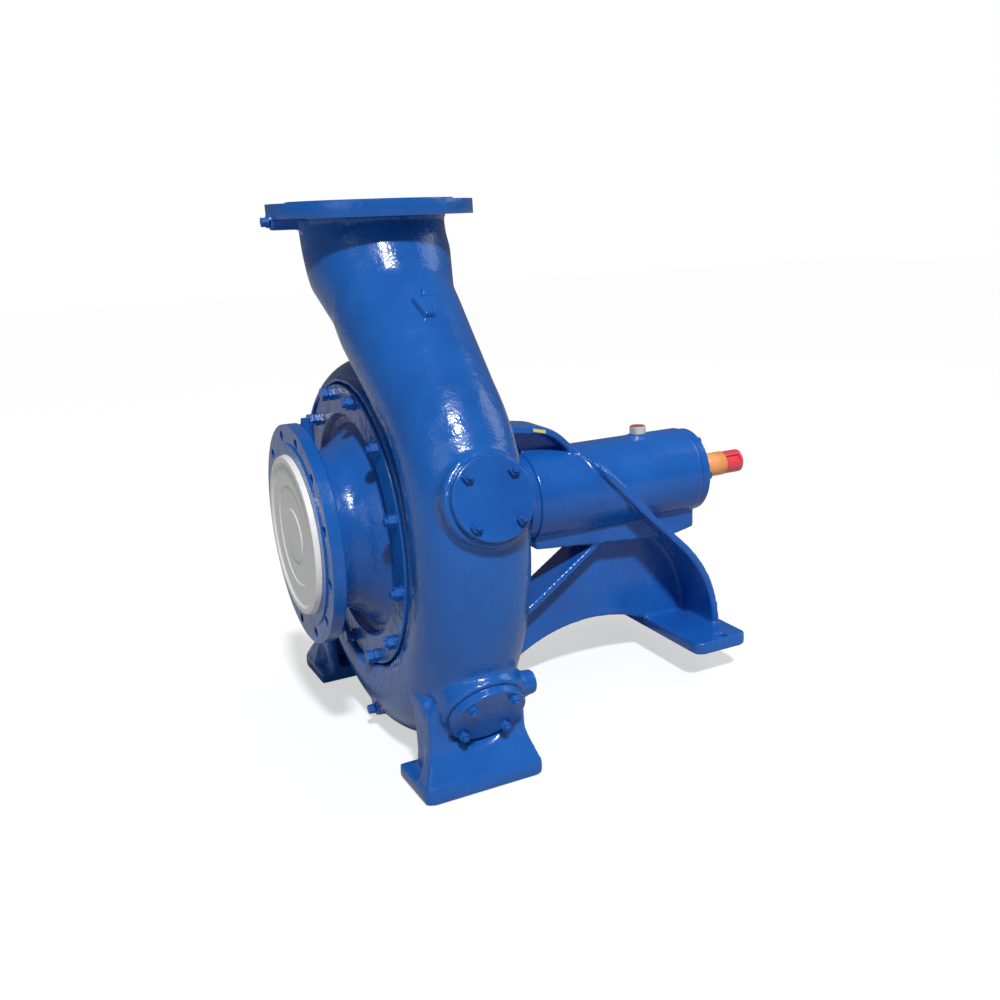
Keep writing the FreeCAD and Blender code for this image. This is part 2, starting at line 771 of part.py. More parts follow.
def suction_cover():
    """Cover ring, dished floor, nozzle and flange in one casting."""
    bore = d.suction_bore / 2
    nozzle = bore + d.nozzle_wall
    flange_back = -d.suction_reach + d.suction_thickness
    ring_seat = wear_ring_start
    seat_radius = d.eye_neck_radius + d.wear_ring_wall + d.seat_gap
    cover = turned("suction_cover", [
        (-d.suction_reach, bore), (-d.suction_reach, d.suction_raised / 2),
        (-d.suction_reach + d.raised_height, d.suction_raised / 2),
        (-d.suction_reach + d.raised_height, d.suction_flange / 2), (flange_back, d.suction_flange / 2, 3),
        (flange_back, nozzle, 8), (-130, nozzle + 1, 60), (ring_seat - 2, seat_radius + 24, 30),
        (dish_floor, seat_radius + 40), (dish_floor, d.cover_dish_radius - 8, 6),
        (ring_face, d.cover_dish_radius, 3), (ring_face, d.recess_radius - 3, 3),
        (front_seat - d.gasket_thickness, d.recess_radius - 3),
        (front_seat - d.gasket_thickness, d.front_opening - d.seat_gap),
        (-d.chamber_half, d.front_opening - d.seat_gap), (-d.chamber_half, seat_radius + 21),
        (-d.chamber_half - 8.4, seat_radius),
        (ring_seat, seat_radius), (ring_seat, bore)])
    gauge = new_sketch(cover, "suction_gauge_boss", "XY_Plane", start=bore + 4)
    draw_circles(gauge, [(suction_gauge_x, 0)], 14)
    pad(gauge, suction_gauge_face - bore - 4)
    gauge = new_sketch(cover, "suction_gauge_thread", "XY_Plane", start=suction_gauge_face - 22)
    draw_circles(gauge, [(suction_gauge_x, 0)], d.plug_thread + d.thread_gap)
    cut(gauge, 22)
    length = d.suction_thickness
    holes(cover, "suction_holes", -d.suction_reach, length, around(d.suction_bolt_circle, flange_angles),
          d.flange_hole / 2)
    holes(cover, "stud_holes", ring_face, d.cover_thickness, around(d.cover_bolt_circle, stud_angles),
          d.stud_diameter / 2 + d.bolt_gap)
    holes(cover, "adjusting_threads", ring_face, d.cover_thickness,
          around(d.cover_bolt_circle, adjusting_angles), d.stud_diameter / 2 + d.thread_gap)
    return cover


suction_gauge_x = -d.suction_reach + d.suction_thickness + 11
suction_gauge_face = d.suction_flange / 2 - 2
wear_ring_start = -(d.chamber_half - d.impeller_gap + d.eye_length) - 2


def gauge_plug_on_top(label):
    body = new_body(label)
    sketch = new_sketch(body, label + "_shank", "XY_Plane", start=suction_gauge_face - 18)
    draw_circles(sketch, [(suction_gauge_x, 0)], d.plug_thread)
    pad(sketch, 18)
    sketch = new_sketch(body, label + "_collar", "XY_Plane", start=suction_gauge_face)
    draw_circles(sketch, [(suction_gauge_x, 0)], d.plug_flats / 2 + 2)
    pad(sketch, 3)
    sketch = new_sketch(body, label + "_head", "XY_Plane", start=suction_gauge_face + 3)
    draw_hexagons(sketch, [(suction_gauge_x, as_size(0))], d.plug_flats)
    pad(sketch, d.plug_head)
    return body


def nuts(label, start, height, places, flats, bore):
    body = new_body(label)
    hexes(body, label + "_outline", start, height, places, flats)
    holes(body, label + "_bore", start, height, places, bore)
    return body


def cover_fasteners():
    """Studs, washers and nuts of the suction cover, and the adjusting screws with their lock nuts."""
    stud = d.stud_diameter / 2
    places = around(d.cover_bolt_circle, stud_angles)
    washer_start = ring_face - d.washer_thickness
    nut_start = washer_start - d.nut_height
    body = new_body("suction_cover_studs")
    rods(body, "suction_studs", nut_start - d.stud_end, front_seat + d.stud_depth - nut_start + d.stud_end,
         places, stud)
    body = new_body("suction_cover_washers")
    rods(body, "suction_washers", washer_start, d.washer_thickness, places, d.washer_diameter / 2)
    holes(body, "suction_washer_holes", washer_start, d.washer_thickness, places, stud + d.bolt_gap)
    nuts("suction_cover_nuts", nut_start, d.nut_height, places, d.nut_flats, stud + d.thread_gap)
    places = around(d.cover_bolt_circle, adjusting_angles)
    lock_start = ring_face - d.lock_nut_height
    head_end = lock_start - d.screw_bare
    nuts("adjusting_lock_nuts", lock_start, d.lock_nut_height, places, d.nut_flats, stud + d.thread_gap)
    body = new_body("adjusting_screws")
    rods(body, "adjusting_shanks", head_end, front_seat - head_end, places, stud)
    hexes(body, "adjusting_heads", head_end - d.screw_head, d.screw_head, places, d.nut_flats)


def ring(label, start, end, inner, outer):
    return turned(label, [(start, inner), (end, inner), (end, outer), (start, outer)])


def hand_cover(label, angle, face):
    """A round cover on a raised seat, with its gasket, four studs and nuts, all turned to its radius."""
    stud = d.hand_stud / 2
    places = around(d.hand_bolt_circle, [45, 135, 225, 315])
    start = face - d.hand_cover_thickness
    cover = new_body(label + "_cover", angle)
    sketch = new_sketch(cover, label + "_disc", "XZ_Plane")
    rim = d.hand_cover_radius
    draw_outline(sketch, [(0, start), (rim, start), (rim, face, 4), (0, face)])
    turn(sketch, axis="V_Axis")
    sketch = new_sketch(cover, label + "_holes", "XY_Plane", start=start)
    draw_circles(sketch, places, stud + d.bolt_gap)
    cut(sketch, d.hand_cover_thickness)
    gasket = new_body(label + "_gasket", angle)
    sketch = new_sketch(gasket, label + "_gasket_ring", "XY_Plane", start=start - d.gasket_thickness)
    draw_circles(sketch, [(0, 0)], d.hand_cover_radius - 1)
    draw_circles(sketch, [(0, 0)], d.hand_hole_radius)
    draw_circles(sketch, places, stud + d.bolt_gap)
    pad(sketch, d.gasket_thickness)
    studs = new_body(label + "_studs", angle)
    foot = start - d.gasket_thickness - d.hand_stud_depth
    sketch = new_sketch(studs, label + "_stud_rods", "XY_Plane", start=foot)
    draw_circles(sketch, places, stud)
    pad(sketch, face + d.hand_nut_height + 5 - foot)
    nuts_body = new_body(label + "_nuts", angle)
    sketch = new_sketch(nuts_body, label + "_nut_outline", "XY_Plane", start=face)
    draw_hexagons(sketch, places, d.hand_nut_flats)
    pad(sketch, d.hand_nut_height)
    sketch = new_sketch(nuts_body, label + "_nut_bore", "XY_Plane", start=face)
    draw_circles(sketch, places, stud + d.thread_gap)
    cut(sketch, d.hand_nut_height)


def impeller():
    """Closed channel impeller: back shroud with hub, front shroud with eye neck, backswept vanes."""
    reach = d.impeller_radius
    back = d.chamber_half - d.impeller_gap
    inside = back - d.shroud_thickness
    wheel = turned("impeller", [
        (back, d.impeller_seat_radius + d.thread_gap), (back, reach), (inside, reach), (inside, 165, 60),
        (18, 62, 40), (d.impeller_seat_start, d.hub_radius - 6),
        (d.impeller_seat_start, d.impeller_seat_radius + d.thread_gap)])
    turned_feature(wheel, "front_shroud", [
        (-back, reach), (-inside, reach), (-inside, 190, 40), (-back - 10, d.eye_radius, 12),
        (-back - d.eye_length, d.eye_radius), (-back - d.eye_length, d.eye_neck_radius),
        (-back - 12, d.eye_neck_radius, 8), (-back, d.eye_neck_radius + 30, 20)])
    vanes = across(wheel, "vanes", -inside - 2)
    for number in range(int(d.vane_count.value)):
        first = 360 / d.vane_count.value * number
        draw_vane(vanes, first)
    pad(vanes, 2 * inside + 4)
    slot = across(wheel, "impeller_keyway", d.impeller_seat_start)
    half = d.key_width / 2 + d.thread_gap
    top = d.impeller_seat_radius + d.key_height / 2 + d.seat_gap
    draw_outline(slot, [(-half, 15), (half, 15), (half, top), (-half, top)])
    cut(slot, back - d.impeller_seat_start)
    return wheel


def draw_vane(sketch, first):
    """One backswept vane: two offset spirals, closed at the leading edge and at the rim."""
    outer = d.impeller_radius.value - 1
    inner = d.vane_inner.value
    sides = ([], [])
    steps = 6
    for k in range(steps + 1):
        share = k / steps
        radius = inner * (outer / inner) ** share
        angle = math.radians(first + d.vane_wrap.value * share)
        for side, points in zip((-1, 1), sides):
            shift = side * d.vane_thickness.value / 2 / radius
            turn_by = angle + shift * 1.4
            points.append(FreeCAD.Vector(-radius * math.sin(turn_by), radius * math.cos(turn_by), 0))
    curves = []
    for points in sides:
        curve = Part.BSplineCurve()
        curve.interpolate(points)
        curves.append(curve)
    tip = Part.LineSegment(sides[0][-1], sides[1][-1])
    middle = (sides[0][0] + sides[1][0]) * 0.5
    front = middle * ((inner - d.vane_thickness.value / 2) / middle.Length)
    nose = Part.Arc(sides[0][0], front, sides[1][0])
    sketch.addGeometry([curves[0], curves[1], tip, nose], False)


def wet_end():
    wear_end = -(d.chamber_half - d.impeller_gap + 19)
    ring("suction_wear_ring", wear_ring_start, wear_end, d.eye_neck_radius + d.running_gap,
         d.eye_neck_radius + d.wear_ring_wall)
    gasket = ring("suction_cover_gasket", front_seat - d.gasket_thickness, front_seat,
                  d.front_opening, d.recess_radius - 3)
    holes(gasket, "gasket_holes", front_seat - d.gasket_thickness, d.gasket_thickness,
          around(d.cover_bolt_circle, stud_angles + adjusting_angles), d.stud_diameter / 2 + d.bolt_gap)
    gasket = ring("casing_cover_gasket", back_seat, back_seat + d.gasket_thickness,
                  d.back_opening, d.recess_radius - 3)
    holes(gasket, "back_gasket_holes", back_seat, d.gasket_thickness,
          around(d.cover_bolt_circle, back_angles), d.stud_diameter / 2 + d.bolt_gap)

    box_flange_start = d.box_end - 16
    throat = d.sleeve_radius + 1
    cover = turned("casing_cover", [
        (d.chamber_half, throat), (d.chamber_half, d.back_opening - d.seat_gap),
        (back_seat + d.gasket_thickness, d.back_opening - d.seat_gap),
        (back_seat + d.gasket_thickness, d.recess_radius - 3), (bracket_seat, d.recess_radius - 3),
        (bracket_seat, d.bracket_opening + 16), (back_seat + 6, d.bracket_opening - 4, 12),
        (back_seat + 6, d.box_outer + 18, 20), (back_seat + 34, d.box_outer, 20),
        (box_flange_start, d.box_outer), (box_flange_start, d.box_flange), (d.box_end, d.box_flange), (d.box_end, d.box_radius),
        (d.box_start, d.box_radius), (d.box_start, throat)])
    holes(cover, "cover_bolt_holes", back_seat, bracket_seat - back_seat,
          around(d.cover_bolt_circle, back_angles), d.stud_diameter / 2 + d.bolt_gap)
    holes(cover, "gland_threads", d.box_end - 14, 14, around(d.gland_bolt_circle, [90, 270]),
          d.gland_stud / 2 + d.thread_gap)

    stud = d.stud_diameter / 2
    places = around(d.cover_bolt_circle, back_angles)
    body = new_body("bracket_studs")
    rods(body, "bracket_stud_rods", back_seat - d.stud_depth,
         bracket_face + d.nut_height + 5 - back_seat + d.stud_depth, places, stud)
    nuts("bracket_nuts", bracket_face, d.nut_height, places, d.nut_flats, stud + d.thread_gap)

    rim = d.sleeve_radius + d.running_gap
    packing = new_body("packing_rings")
    lantern_place = 3
    for number in range(int(d.packing_rings.value) + 1):
        start = d.box_start + d.packing_width * number
        first = start + d.thread_gap
        corners = [(first, rim), (start + d.packing_width, rim),
                   (start + d.packing_width, d.box_radius - d.seat_gap), (first, d.box_radius - d.seat_gap)]
        if number == lantern_place:
            lantern = turned("lantern_ring", corners)
            groove = d.packing_width / 4
            turned_feature(lantern, "lantern_groove", [
                (start + groove, d.box_radius - 4), (start + 3 * groove, d.box_radius - 4),
                (start + 3 * groove, d.box_radius + 1), (start + groove, d.box_radius + 1)], "Groove")
        else:
            turned_feature(packing, f"packing_{number}", corners)
    nose = d.box_start + d.packing_width * (d.packing_rings + 1)
    gland_face = d.box_end + d.gland_travel
    gland_end = gland_face + d.gland_flange_thickness
    gland = turned("gland", [
        (nose, rim + 0.5), (nose, d.box_radius - d.seat_gap), (gland_face, d.box_radius - d.seat_gap),
        (gland_face, d.box_flange), (gland_end, d.box_flange), (gland_end, rim + 0.5)])
    gland_places = around(d.gland_bolt_circle, [90, 270])
    holes(gland, "gland_holes", gland_face, d.gland_flange_thickness, gland_places,
          d.gland_stud / 2 + d.bolt_gap / 2)
    body = new_body("gland_studs")
    rods(body, "gland_stud_rods", d.box_end - 14, gland_end + d.gland_nut_height + 8 - d.box_end + 14,
         gland_places, d.gland_stud / 2)
    nuts("gland_nuts", gland_end, d.gland_nut_height, gland_places, d.gland_nut_flats,
         d.gland_stud / 2 + d.thread_gap)
    face = -d.suction_reach
    skirt = d.suction_bore / 2 - d.seat_gap
    turned("suction_cap", [
        (face - 7, 0), (face - 7, 52), (face - 5, 55), (face - 5, 100), (face - 7, 103),
        (face - 7, d.cap_lip - 20), (face - 11, d.cap_lip - 14), (face - 11, d.cap_lip - 3, 2),
        (face - d.seat_gap, d.cap_lip), (face - d.seat_gap, skirt), (face + d.cap_skirt, skirt),
        (face + d.cap_skirt, skirt - d.cap_wall), (face - 3, skirt - d.cap_wall), (face - 3, 0)])


sump_drain_face = d.sump_half + 6
sump_drain_place = (d.sump_drain_x, -d.sump_drain_depth)


def bearing_bracket():
    """Flange ring, lantern struts, barrel with sump, arched plate, web and foot pad in one casting."""
    bracket = new_body("bearing_bracket")
    thick = d.plate_thickness
    start_x = bracket_seat + d.bracket_flange_thickness / 2
    sketch = new_sketch(bracket, "arched_plate", "XZ_Plane", start=-d.plate_half)
    draw_outline(sketch, [
        (start_x, d.strut_start_height), (d.strut_bend_x, d.strut_bend_height, d.strut_bend_rounding),
        (d.plate_end_x, d.plate_bend_height, d.plate_bend_rounding),
        (d.plate_end_x, d.pad_underside + 10), (d.plate_end_x - thick, d.pad_underside + 10),
        (d.plate_end_x - thick, d.plate_bend_height - thick * 0.41, d.plate_bend_rounding - thick),
        (d.strut_bend_x - thick * 0.31, d.strut_bend_height - thick * 0.96, d.strut_bend_rounding - thick),
        (start_x, d.strut_start_height - thick)])
    pad(sketch, 2 * d.plate_half)
    sketch = new_sketch(bracket, "plate_sides", "XY_Plane", start=d.pad_underside)
    barrel_meet = d.strut_bend_x + 56
    for side in (-1, 1):
        draw_outline(sketch, [
            (start_x - 1, d.strut_half * side), (barrel_meet, d.strut_half * side, 20),
            (barrel_meet + 44, d.rib_half * side, 20), (d.arch_middle_x + 112, d.rib_half * side, 60),
            (d.plate_end_x + 1, d.plate_half * side), (d.plate_end_x + 1, (d.plate_half + 9) * side),
            (start_x - 1, (d.plate_half + 9) * side)])
    cut(sketch, d.strut_start_height - d.pad_underside + 1)

    turned_feature(bracket, "flange_ring", [
        (bracket_seat, d.bracket_opening), (bracket_seat, d.recess_radius - 3),
        (bracket_face, d.recess_radius - 3), (bracket_face, d.bracket_opening)])
    turned_feature(bracket, "barrel", [
        (d.barrel_start, 0), (d.barrel_start, d.barrel_radius, 3), (d.barrel_end, d.barrel_radius, 3),
        (d.barrel_end, 0)])

    sketch = new_sketch(bracket, "lower_strut", "XZ_Plane", start=-d.lower_strut_half)
    under = thick * 1.1
    draw_outline(sketch, [
        (start_x, d.lower_strut_flange_height),
        (d.lower_strut_bend_x, d.lower_strut_bend_height, 120),
        (d.lower_strut_end_x, d.lower_strut_end_height),
        (d.lower_strut_end_x + 10, -d.oil_room_radius - 20),
        (d.lower_strut_end_x + 30, -d.oil_room_radius - 20),
        (d.lower_strut_end_x + 12, d.lower_strut_end_height - 12),
        (d.lower_strut_bend_x + 6, d.lower_strut_bend_height - under, 135),
        (start_x, d.lower_strut_flange_height - thick)])
    pad(sketch, 2 * d.lower_strut_half)

    inset = thick / 2
    sketch = new_sketch(bracket, "web", "XZ_Plane", start=-d.web_thickness / 2)
    draw_outline(sketch, [
        (start_x, d.lower_strut_flange_height - inset), (start_x, -d.recess_radius + 6),
        (d.lower_strut_bend_x - 18, d.pad_underside - 6, 16),
        (d.arch_middle_x, d.arch_apex_height, d.arch_rounding),
        (d.pad_start + 34, d.pad_underside + 8), (d.plate_end_x - inset, d.pad_underside + 8),
        (d.plate_end_x - inset, d.plate_bend_height - inset * 0.41, d.plate_bend_rounding - inset),
        (d.arch_middle_x + 60, d.plate_bend_height + 210), (d.lower_strut_end_x, d.plate_bend_height + 210),
        (d.lower_strut_end_x, d.lower_strut_end_height - inset),
        (d.lower_strut_bend_x + 3, d.lower_strut_bend_height - inset, 125)])
    pad(sketch, d.web_thickness)

    sketch = new_sketch(bracket, "strut_rib", "XZ_Plane", start=-d.web_thickness / 2)
    draw_outline(sketch, [
        (d.barrel_start - 24, d.strut_bend_height), (d.barrel_start - 18, d.barrel_radius + 40, 20),
        (d.barrel_start + 4, d.barrel_radius - 8), (d.strut_bend_x + 60, d.barrel_radius - 8),
        (d.strut_bend_x - 8, d.strut_bend_height - 8)])
    pad(sketch, d.web_thickness)

    sketch = new_sketch(bracket, "foot_pad", "XY_Plane", start=d.pad_underside)
    draw_outline(sketch, [
        (d.pad_start, -d.pad_half, d.pad_rounding), (d.pad_end, -d.pad_half, d.pad_rounding),
        (d.pad_end, d.pad_half, d.pad_rounding), (d.pad_start, d.pad_half, d.pad_rounding)])
    pad(sketch, d.pad_thickness)

    sketch = new_sketch(bracket, "sump", "XZ_Plane", start=-d.sump_half)
    draw_outline(sketch, [
        (d.barrel_start + 2, -d.oil_room_radius), (d.barrel_start + 2, -d.sump_start_depth, 8),
        (d.pad_start + 40, -d.sump_end_depth, 20), (d.barrel_end, -d.sump_end_depth + 14, 8),
        (d.barrel_end, -d.oil_room_radius)])
    pad(sketch, 2 * d.sump_half)
    sketch = new_sketch(bracket, "filler_boss", "XY_Plane", start=d.barrel_radius - 12)
    draw_circles(sketch, [(d.filler_x, 0)], d.filler_radius + 2)
    pad(sketch, 15)
    sketch = new_sketch(bracket, "sump_drain_boss", "XZ_Plane", start=-sump_drain_face)
    draw_circles(sketch, [sump_drain_place], 14)
    pad(sketch, 12)

    # Inside of the barrel: two bearing seats with the oil room between them
    roller = d.roller_bearing_outside / 2 + d.thread_gap
    ball = d.ball_bearing_outside / 2 + d.thread_gap
    turned_feature(bracket, "barrel_bore", [
        (d.barrel_start - 1, 0), (d.barrel_start - 1, roller), (roller_seat_end, roller),
        (roller_seat_end, d.oil_room_radius), (ball_seat_start, d.oil_room_radius), (ball_seat_start, ball),
        (d.barrel_end + 1, ball), (d.barrel_end + 1, 0)], "Groove")
    sketch = new_sketch(bracket, "oil_pocket", "XZ_Plane", start=-d.sump_half + d.sump_wall)
    draw_outline(sketch, [
        (roller_seat_end + 14, 0), (roller_seat_end + 14, -d.sump_start_depth + d.sump_wall - 3),
        (ball_seat_start - 14, -d.sump_end_depth + d.sump_wall + 2), (ball_seat_start - 14, 0)])
    cut(sketch, 2 * (d.sump_half - d.sump_wall))
    sketch = new_sketch(bracket, "filler_thread", "XY_Plane", start=d.oil_room_radius - 8)
    draw_circles(sketch, [(d.filler_x, 0)], d.plug_thread + d.thread_gap)
    cut(sketch, d.barrel_radius + 3 - d.oil_room_radius + 8)
    sketch = new_sketch(bracket, "sump_drain_thread", "XZ_Plane", start=-sump_drain_face)
    draw_circles(sketch, [sump_drain_place], d.plug_thread + d.thread_gap)
    cut(sketch, d.sump_wall + 8)
    sketch = new_sketch(bracket, "pad_holes", "XY_Plane", start=d.pad_underside)
    draw_circles(sketch, [(d.pad_hole_x, d.pad_hole_across * (side / 2)) for side in (-1, 1)], d.pad_hole / 2)
    cut(sketch, d.pad_thickness)
    holes(bracket, "bracket_bolt_holes", bracket_seat, d.bracket_flange_thickness,
          around(d.cover_bolt_circle, back_angles), d.stud_diameter / 2 + d.bolt_gap)
    screw = d.bearing_screw / 2 + d.thread_gap
    places = around(d.bearing_cover_circle, cover_screw_angles)
    holes(bracket, "pump_cover_threads", d.barrel_start, d.bearing_screw_depth, places, screw)
    holes(bracket, "drive_cover_threads", d.barrel_end - d.bearing_screw_depth, d.bearing_screw_depth,
          places, screw)
    return bracket


def bearing_covers():
    """Both bearing covers with their shaft seals and screws."""
    cover_start = d.barrel_start - d.bearing_cover_thickness
    spigot = d.roller_bearing_outside / 2 - 2 * d.thread_gap
    seal_seat = d.pump_seal_outer + d.thread_gap
    seal_end = cover_start + 12 + d.seal_width
    shaft_hole = d.roller_bearing_bore / 2 + 1.5
    pump = turned("pump_side_bearing_cover", [
        (cover_start, shaft_hole), (cover_start, d.bearing_cover_radius, 3),
        (d.barrel_start, d.bearing_cover_radius), (d.barrel_start, spigot), (roller_seat_start, spigot),
        (roller_seat_start, d.roller_bearing_outside / 2 - 9), (seal_end, 60), (seal_end, seal_seat),
        (cover_start + 6, seal_seat), (cover_start + 6, shaft_hole)])
    places = around(d.bearing_cover_circle, cover_screw_angles)
    clear = d.bearing_screw / 2 + d.bolt_gap / 2
    holes(pump, "pump_cover_holes", cover_start, d.bearing_cover_thickness, places, clear)
    cover_end = d.barrel_end + d.bearing_cover_thickness
    hub_end = cover_end + 14
    spigot = d.ball_bearing_outside / 2 - 2 * d.thread_gap
    seal_seat = d.seal_outer + d.thread_gap
    shaft_hole = d.seal_land_radius + 1.5
    seal_end = hub_end - 6
    drive = turned("drive_side_bearing_cover", [
        (ball_seat_end, spigot), (d.barrel_end, spigot), (d.barrel_end, d.bearing_cover_radius),
        (cover_end, d.bearing_cover_radius, 3), (cover_end, 62), (hub_end, 58, 3), (hub_end, shaft_hole),
        (seal_end, shaft_hole), (seal_end, seal_seat), (seal_end - d.seal_width - 2, seal_seat),
        (seal_end - d.seal_width - 2, 52), (ball_seat_end, 58)])
    holes(drive, "drive_cover_holes", d.barrel_end, d.bearing_cover_thickness, places, clear)

    ring("pump_side_shaft_seal", cover_start + 6, cover_start + 6 + d.seal_width,
         d.roller_bearing_bore / 2 + d.running_gap, d.pump_seal_outer)
    ring("drive_side_shaft_seal", seal_end - d.seal_width, seal_end, d.seal_land_radius + d.running_gap,
         d.seal_outer)
    screws = new_body("bearing_cover_screws")
    depth = d.bearing_screw_depth - 2
    rods(screws, "pump_screws", cover_start, d.bearing_cover_thickness + depth, places, d.bearing_screw / 2)
    hexes(screws, "pump_screw_heads", cover_start - d.bearing_screw_head, d.bearing_screw_head, places,
          d.bearing_screw_flats)
    rods(screws, "drive_screws", d.barrel_end - depth, d.bearing_cover_thickness + depth, places,
         d.bearing_screw / 2)
    hexes(screws, "drive_screw_heads", cover_end, d.bearing_screw_head, places, d.bearing_screw_flats)


def oil_plugs():
    top = d.barrel_radius + 3
    body = new_body("oil_filler_plug")
    sketch = new_sketch(body, "filler_shank", "XY_Plane", start=top - 20)
    draw_circles(sketch, [(d.filler_x, 0)], d.plug_thread)
    pad(sketch, 20)
    sketch = new_sketch(body, "filler_head", "XY_Plane", start=top)
    draw_circles(sketch, [(d.filler_x, 0)], d.filler_radius)
    pad(sketch, 15)
    sketch = new_sketch(body, "filler_cap", "XY_Plane", start=top + 15)
    draw_circles(sketch, [(d.filler_x, 0)], d.filler_radius - 2)
    pad(sketch, 2.5)
    body = new_body("oil_drain_plug")
    sketch = new_sketch(body, "sump_plug_shank", "XZ_Plane", start=-sump_drain_face)
    draw_circles(sketch, [sump_drain_place], d.plug_thread)
    pad(sketch, 16)
    sketch = new_sketch(body, "sump_plug_head", "XZ_Plane", start=-sump_drain_face - d.plug_head)
    draw_hexagons(sketch, [sump_drain_place], d.plug_flats)
    pad(sketch, d.plug_head)


def roller_bearing():
    """Cylindrical roller bearing at the pump side."""
    start, end = roller_seat_start, roller_seat_end
    bore = d.roller_bearing_bore / 2
    outside = d.roller_bearing_outside / 2
    pitch = bore + outside
    roller = d.roller_diameter / 2
    middle = (start + end) / 2
    outer_track = pitch / 2 + roller + d.thread_gap
    inner_track = pitch / 2 - roller - d.thread_gap
    turned("roller_bearing_outer_ring", [
        (start, outer_track - 3), (start, outside), (end, outside), (end, outer_track - 3),
        (end - 5, outer_track - 3), (end - 5, outer_track), (start + 5, outer_track),
        (start + 5, outer_track - 3)])
    ring("roller_bearing_inner_ring", start, end, bore, inner_track)
    places = around(pitch, [360 / d.roller_count.value * k for k in range(int(d.roller_count.value))])
    body = new_body("bearing_rollers")
    rods(body, "rollers", middle - d.roller_length / 2, d.roller_length, places, roller)
    cage = ring("roller_cage", start + 2, end - 2, pitch / 2 - 4, pitch / 2 + 4)
    holes(cage, "roller_pockets", middle - d.roller_length / 2 - d.thread_gap,
          d.roller_length + 2 * d.thread_gap, places, roller + d.thread_gap)


def ball_bearings():
    """Two rows of balls in deep tracks at the drive side; the shaft lock nut clamps them."""
    bore = d.ball_bearing_bore / 2
    outside = d.ball_bearing_outside / 2
    pitch = (bore + outside) / 2
    ball = d.ball_diameter / 2
    outer = new_body("ball_bearing_outer_rings")
    inner = new_body("ball_bearing_inner_rings")
    cages = new_body("ball_cages")
    balls = []
    count = int(d.ball_count.value)
    angles = [360 / count * k for k in range(count)]
    for row in (0, 1):
        start = ball_seat_start + d.ball_bearing_width * row + d.thread_gap * row
        end = ball_seat_start + d.ball_bearing_width * (row + 1)
        middle = ball_seat_start + d.ball_bearing_width * (row + 0.5)
        turned_feature(outer, f"outer_ring_{row}", [
            (start, pitch + ball * 0.6), (start, outside), (end, outside), (end, pitch + ball * 0.6)])
        turned_feature(inner, f"inner_ring_{row}", [
            (start, bore), (end, bore), (end, pitch - ball * 0.6), (start, pitch - ball * 0.6)])
        cage_start = middle - ball - 3
        cage_length = ball + 8
        turned_feature(cages, f"cage_{row}", [
            (cage_start, pitch - 3.5), (cage_start + cage_length, pitch - 3.5),
            (cage_start + cage_length, pitch + 3.5), (cage_start, pitch + 3.5)])
        holes(cages, f"cage_pockets_{row}", cage_start + 3 - d.seat_gap, cage_length,
              around(2 * pitch, angles), ball + d.seat_gap)
        for angle in angles:
            sphere = doc.addObject("Part::Sphere", "ball")
            bind(sphere, "Radius", ball)
            bind(sphere, "Placement.Base.x", middle)
            bind(sphere, "Placement.Base.y", -(pitch * sine(angle)))
            bind(sphere, "Placement.Base.z", pitch * cosine(angle))
            balls.append(sphere)
    for row in (0, 1):
        middle = ball_seat_start + d.ball_bearing_width * (row + 0.5)
        for body, name in ((outer, "outer_track"), (inner, "inner_track")):
            sketch = new_sketch(body, f"{name}_{row}", "XZ_Plane")
            draw_circles(sketch, [(middle, pitch)], ball + d.thread_gap)
            turn(sketch, "Groove")
    group = doc.addObject("Part::Compound", "bearing_balls")
    group.Label = "bearing_balls"
    group.Links = balls
    bind(group, "Placement.Base.z", d.axis_height)
    pieces.append(group)


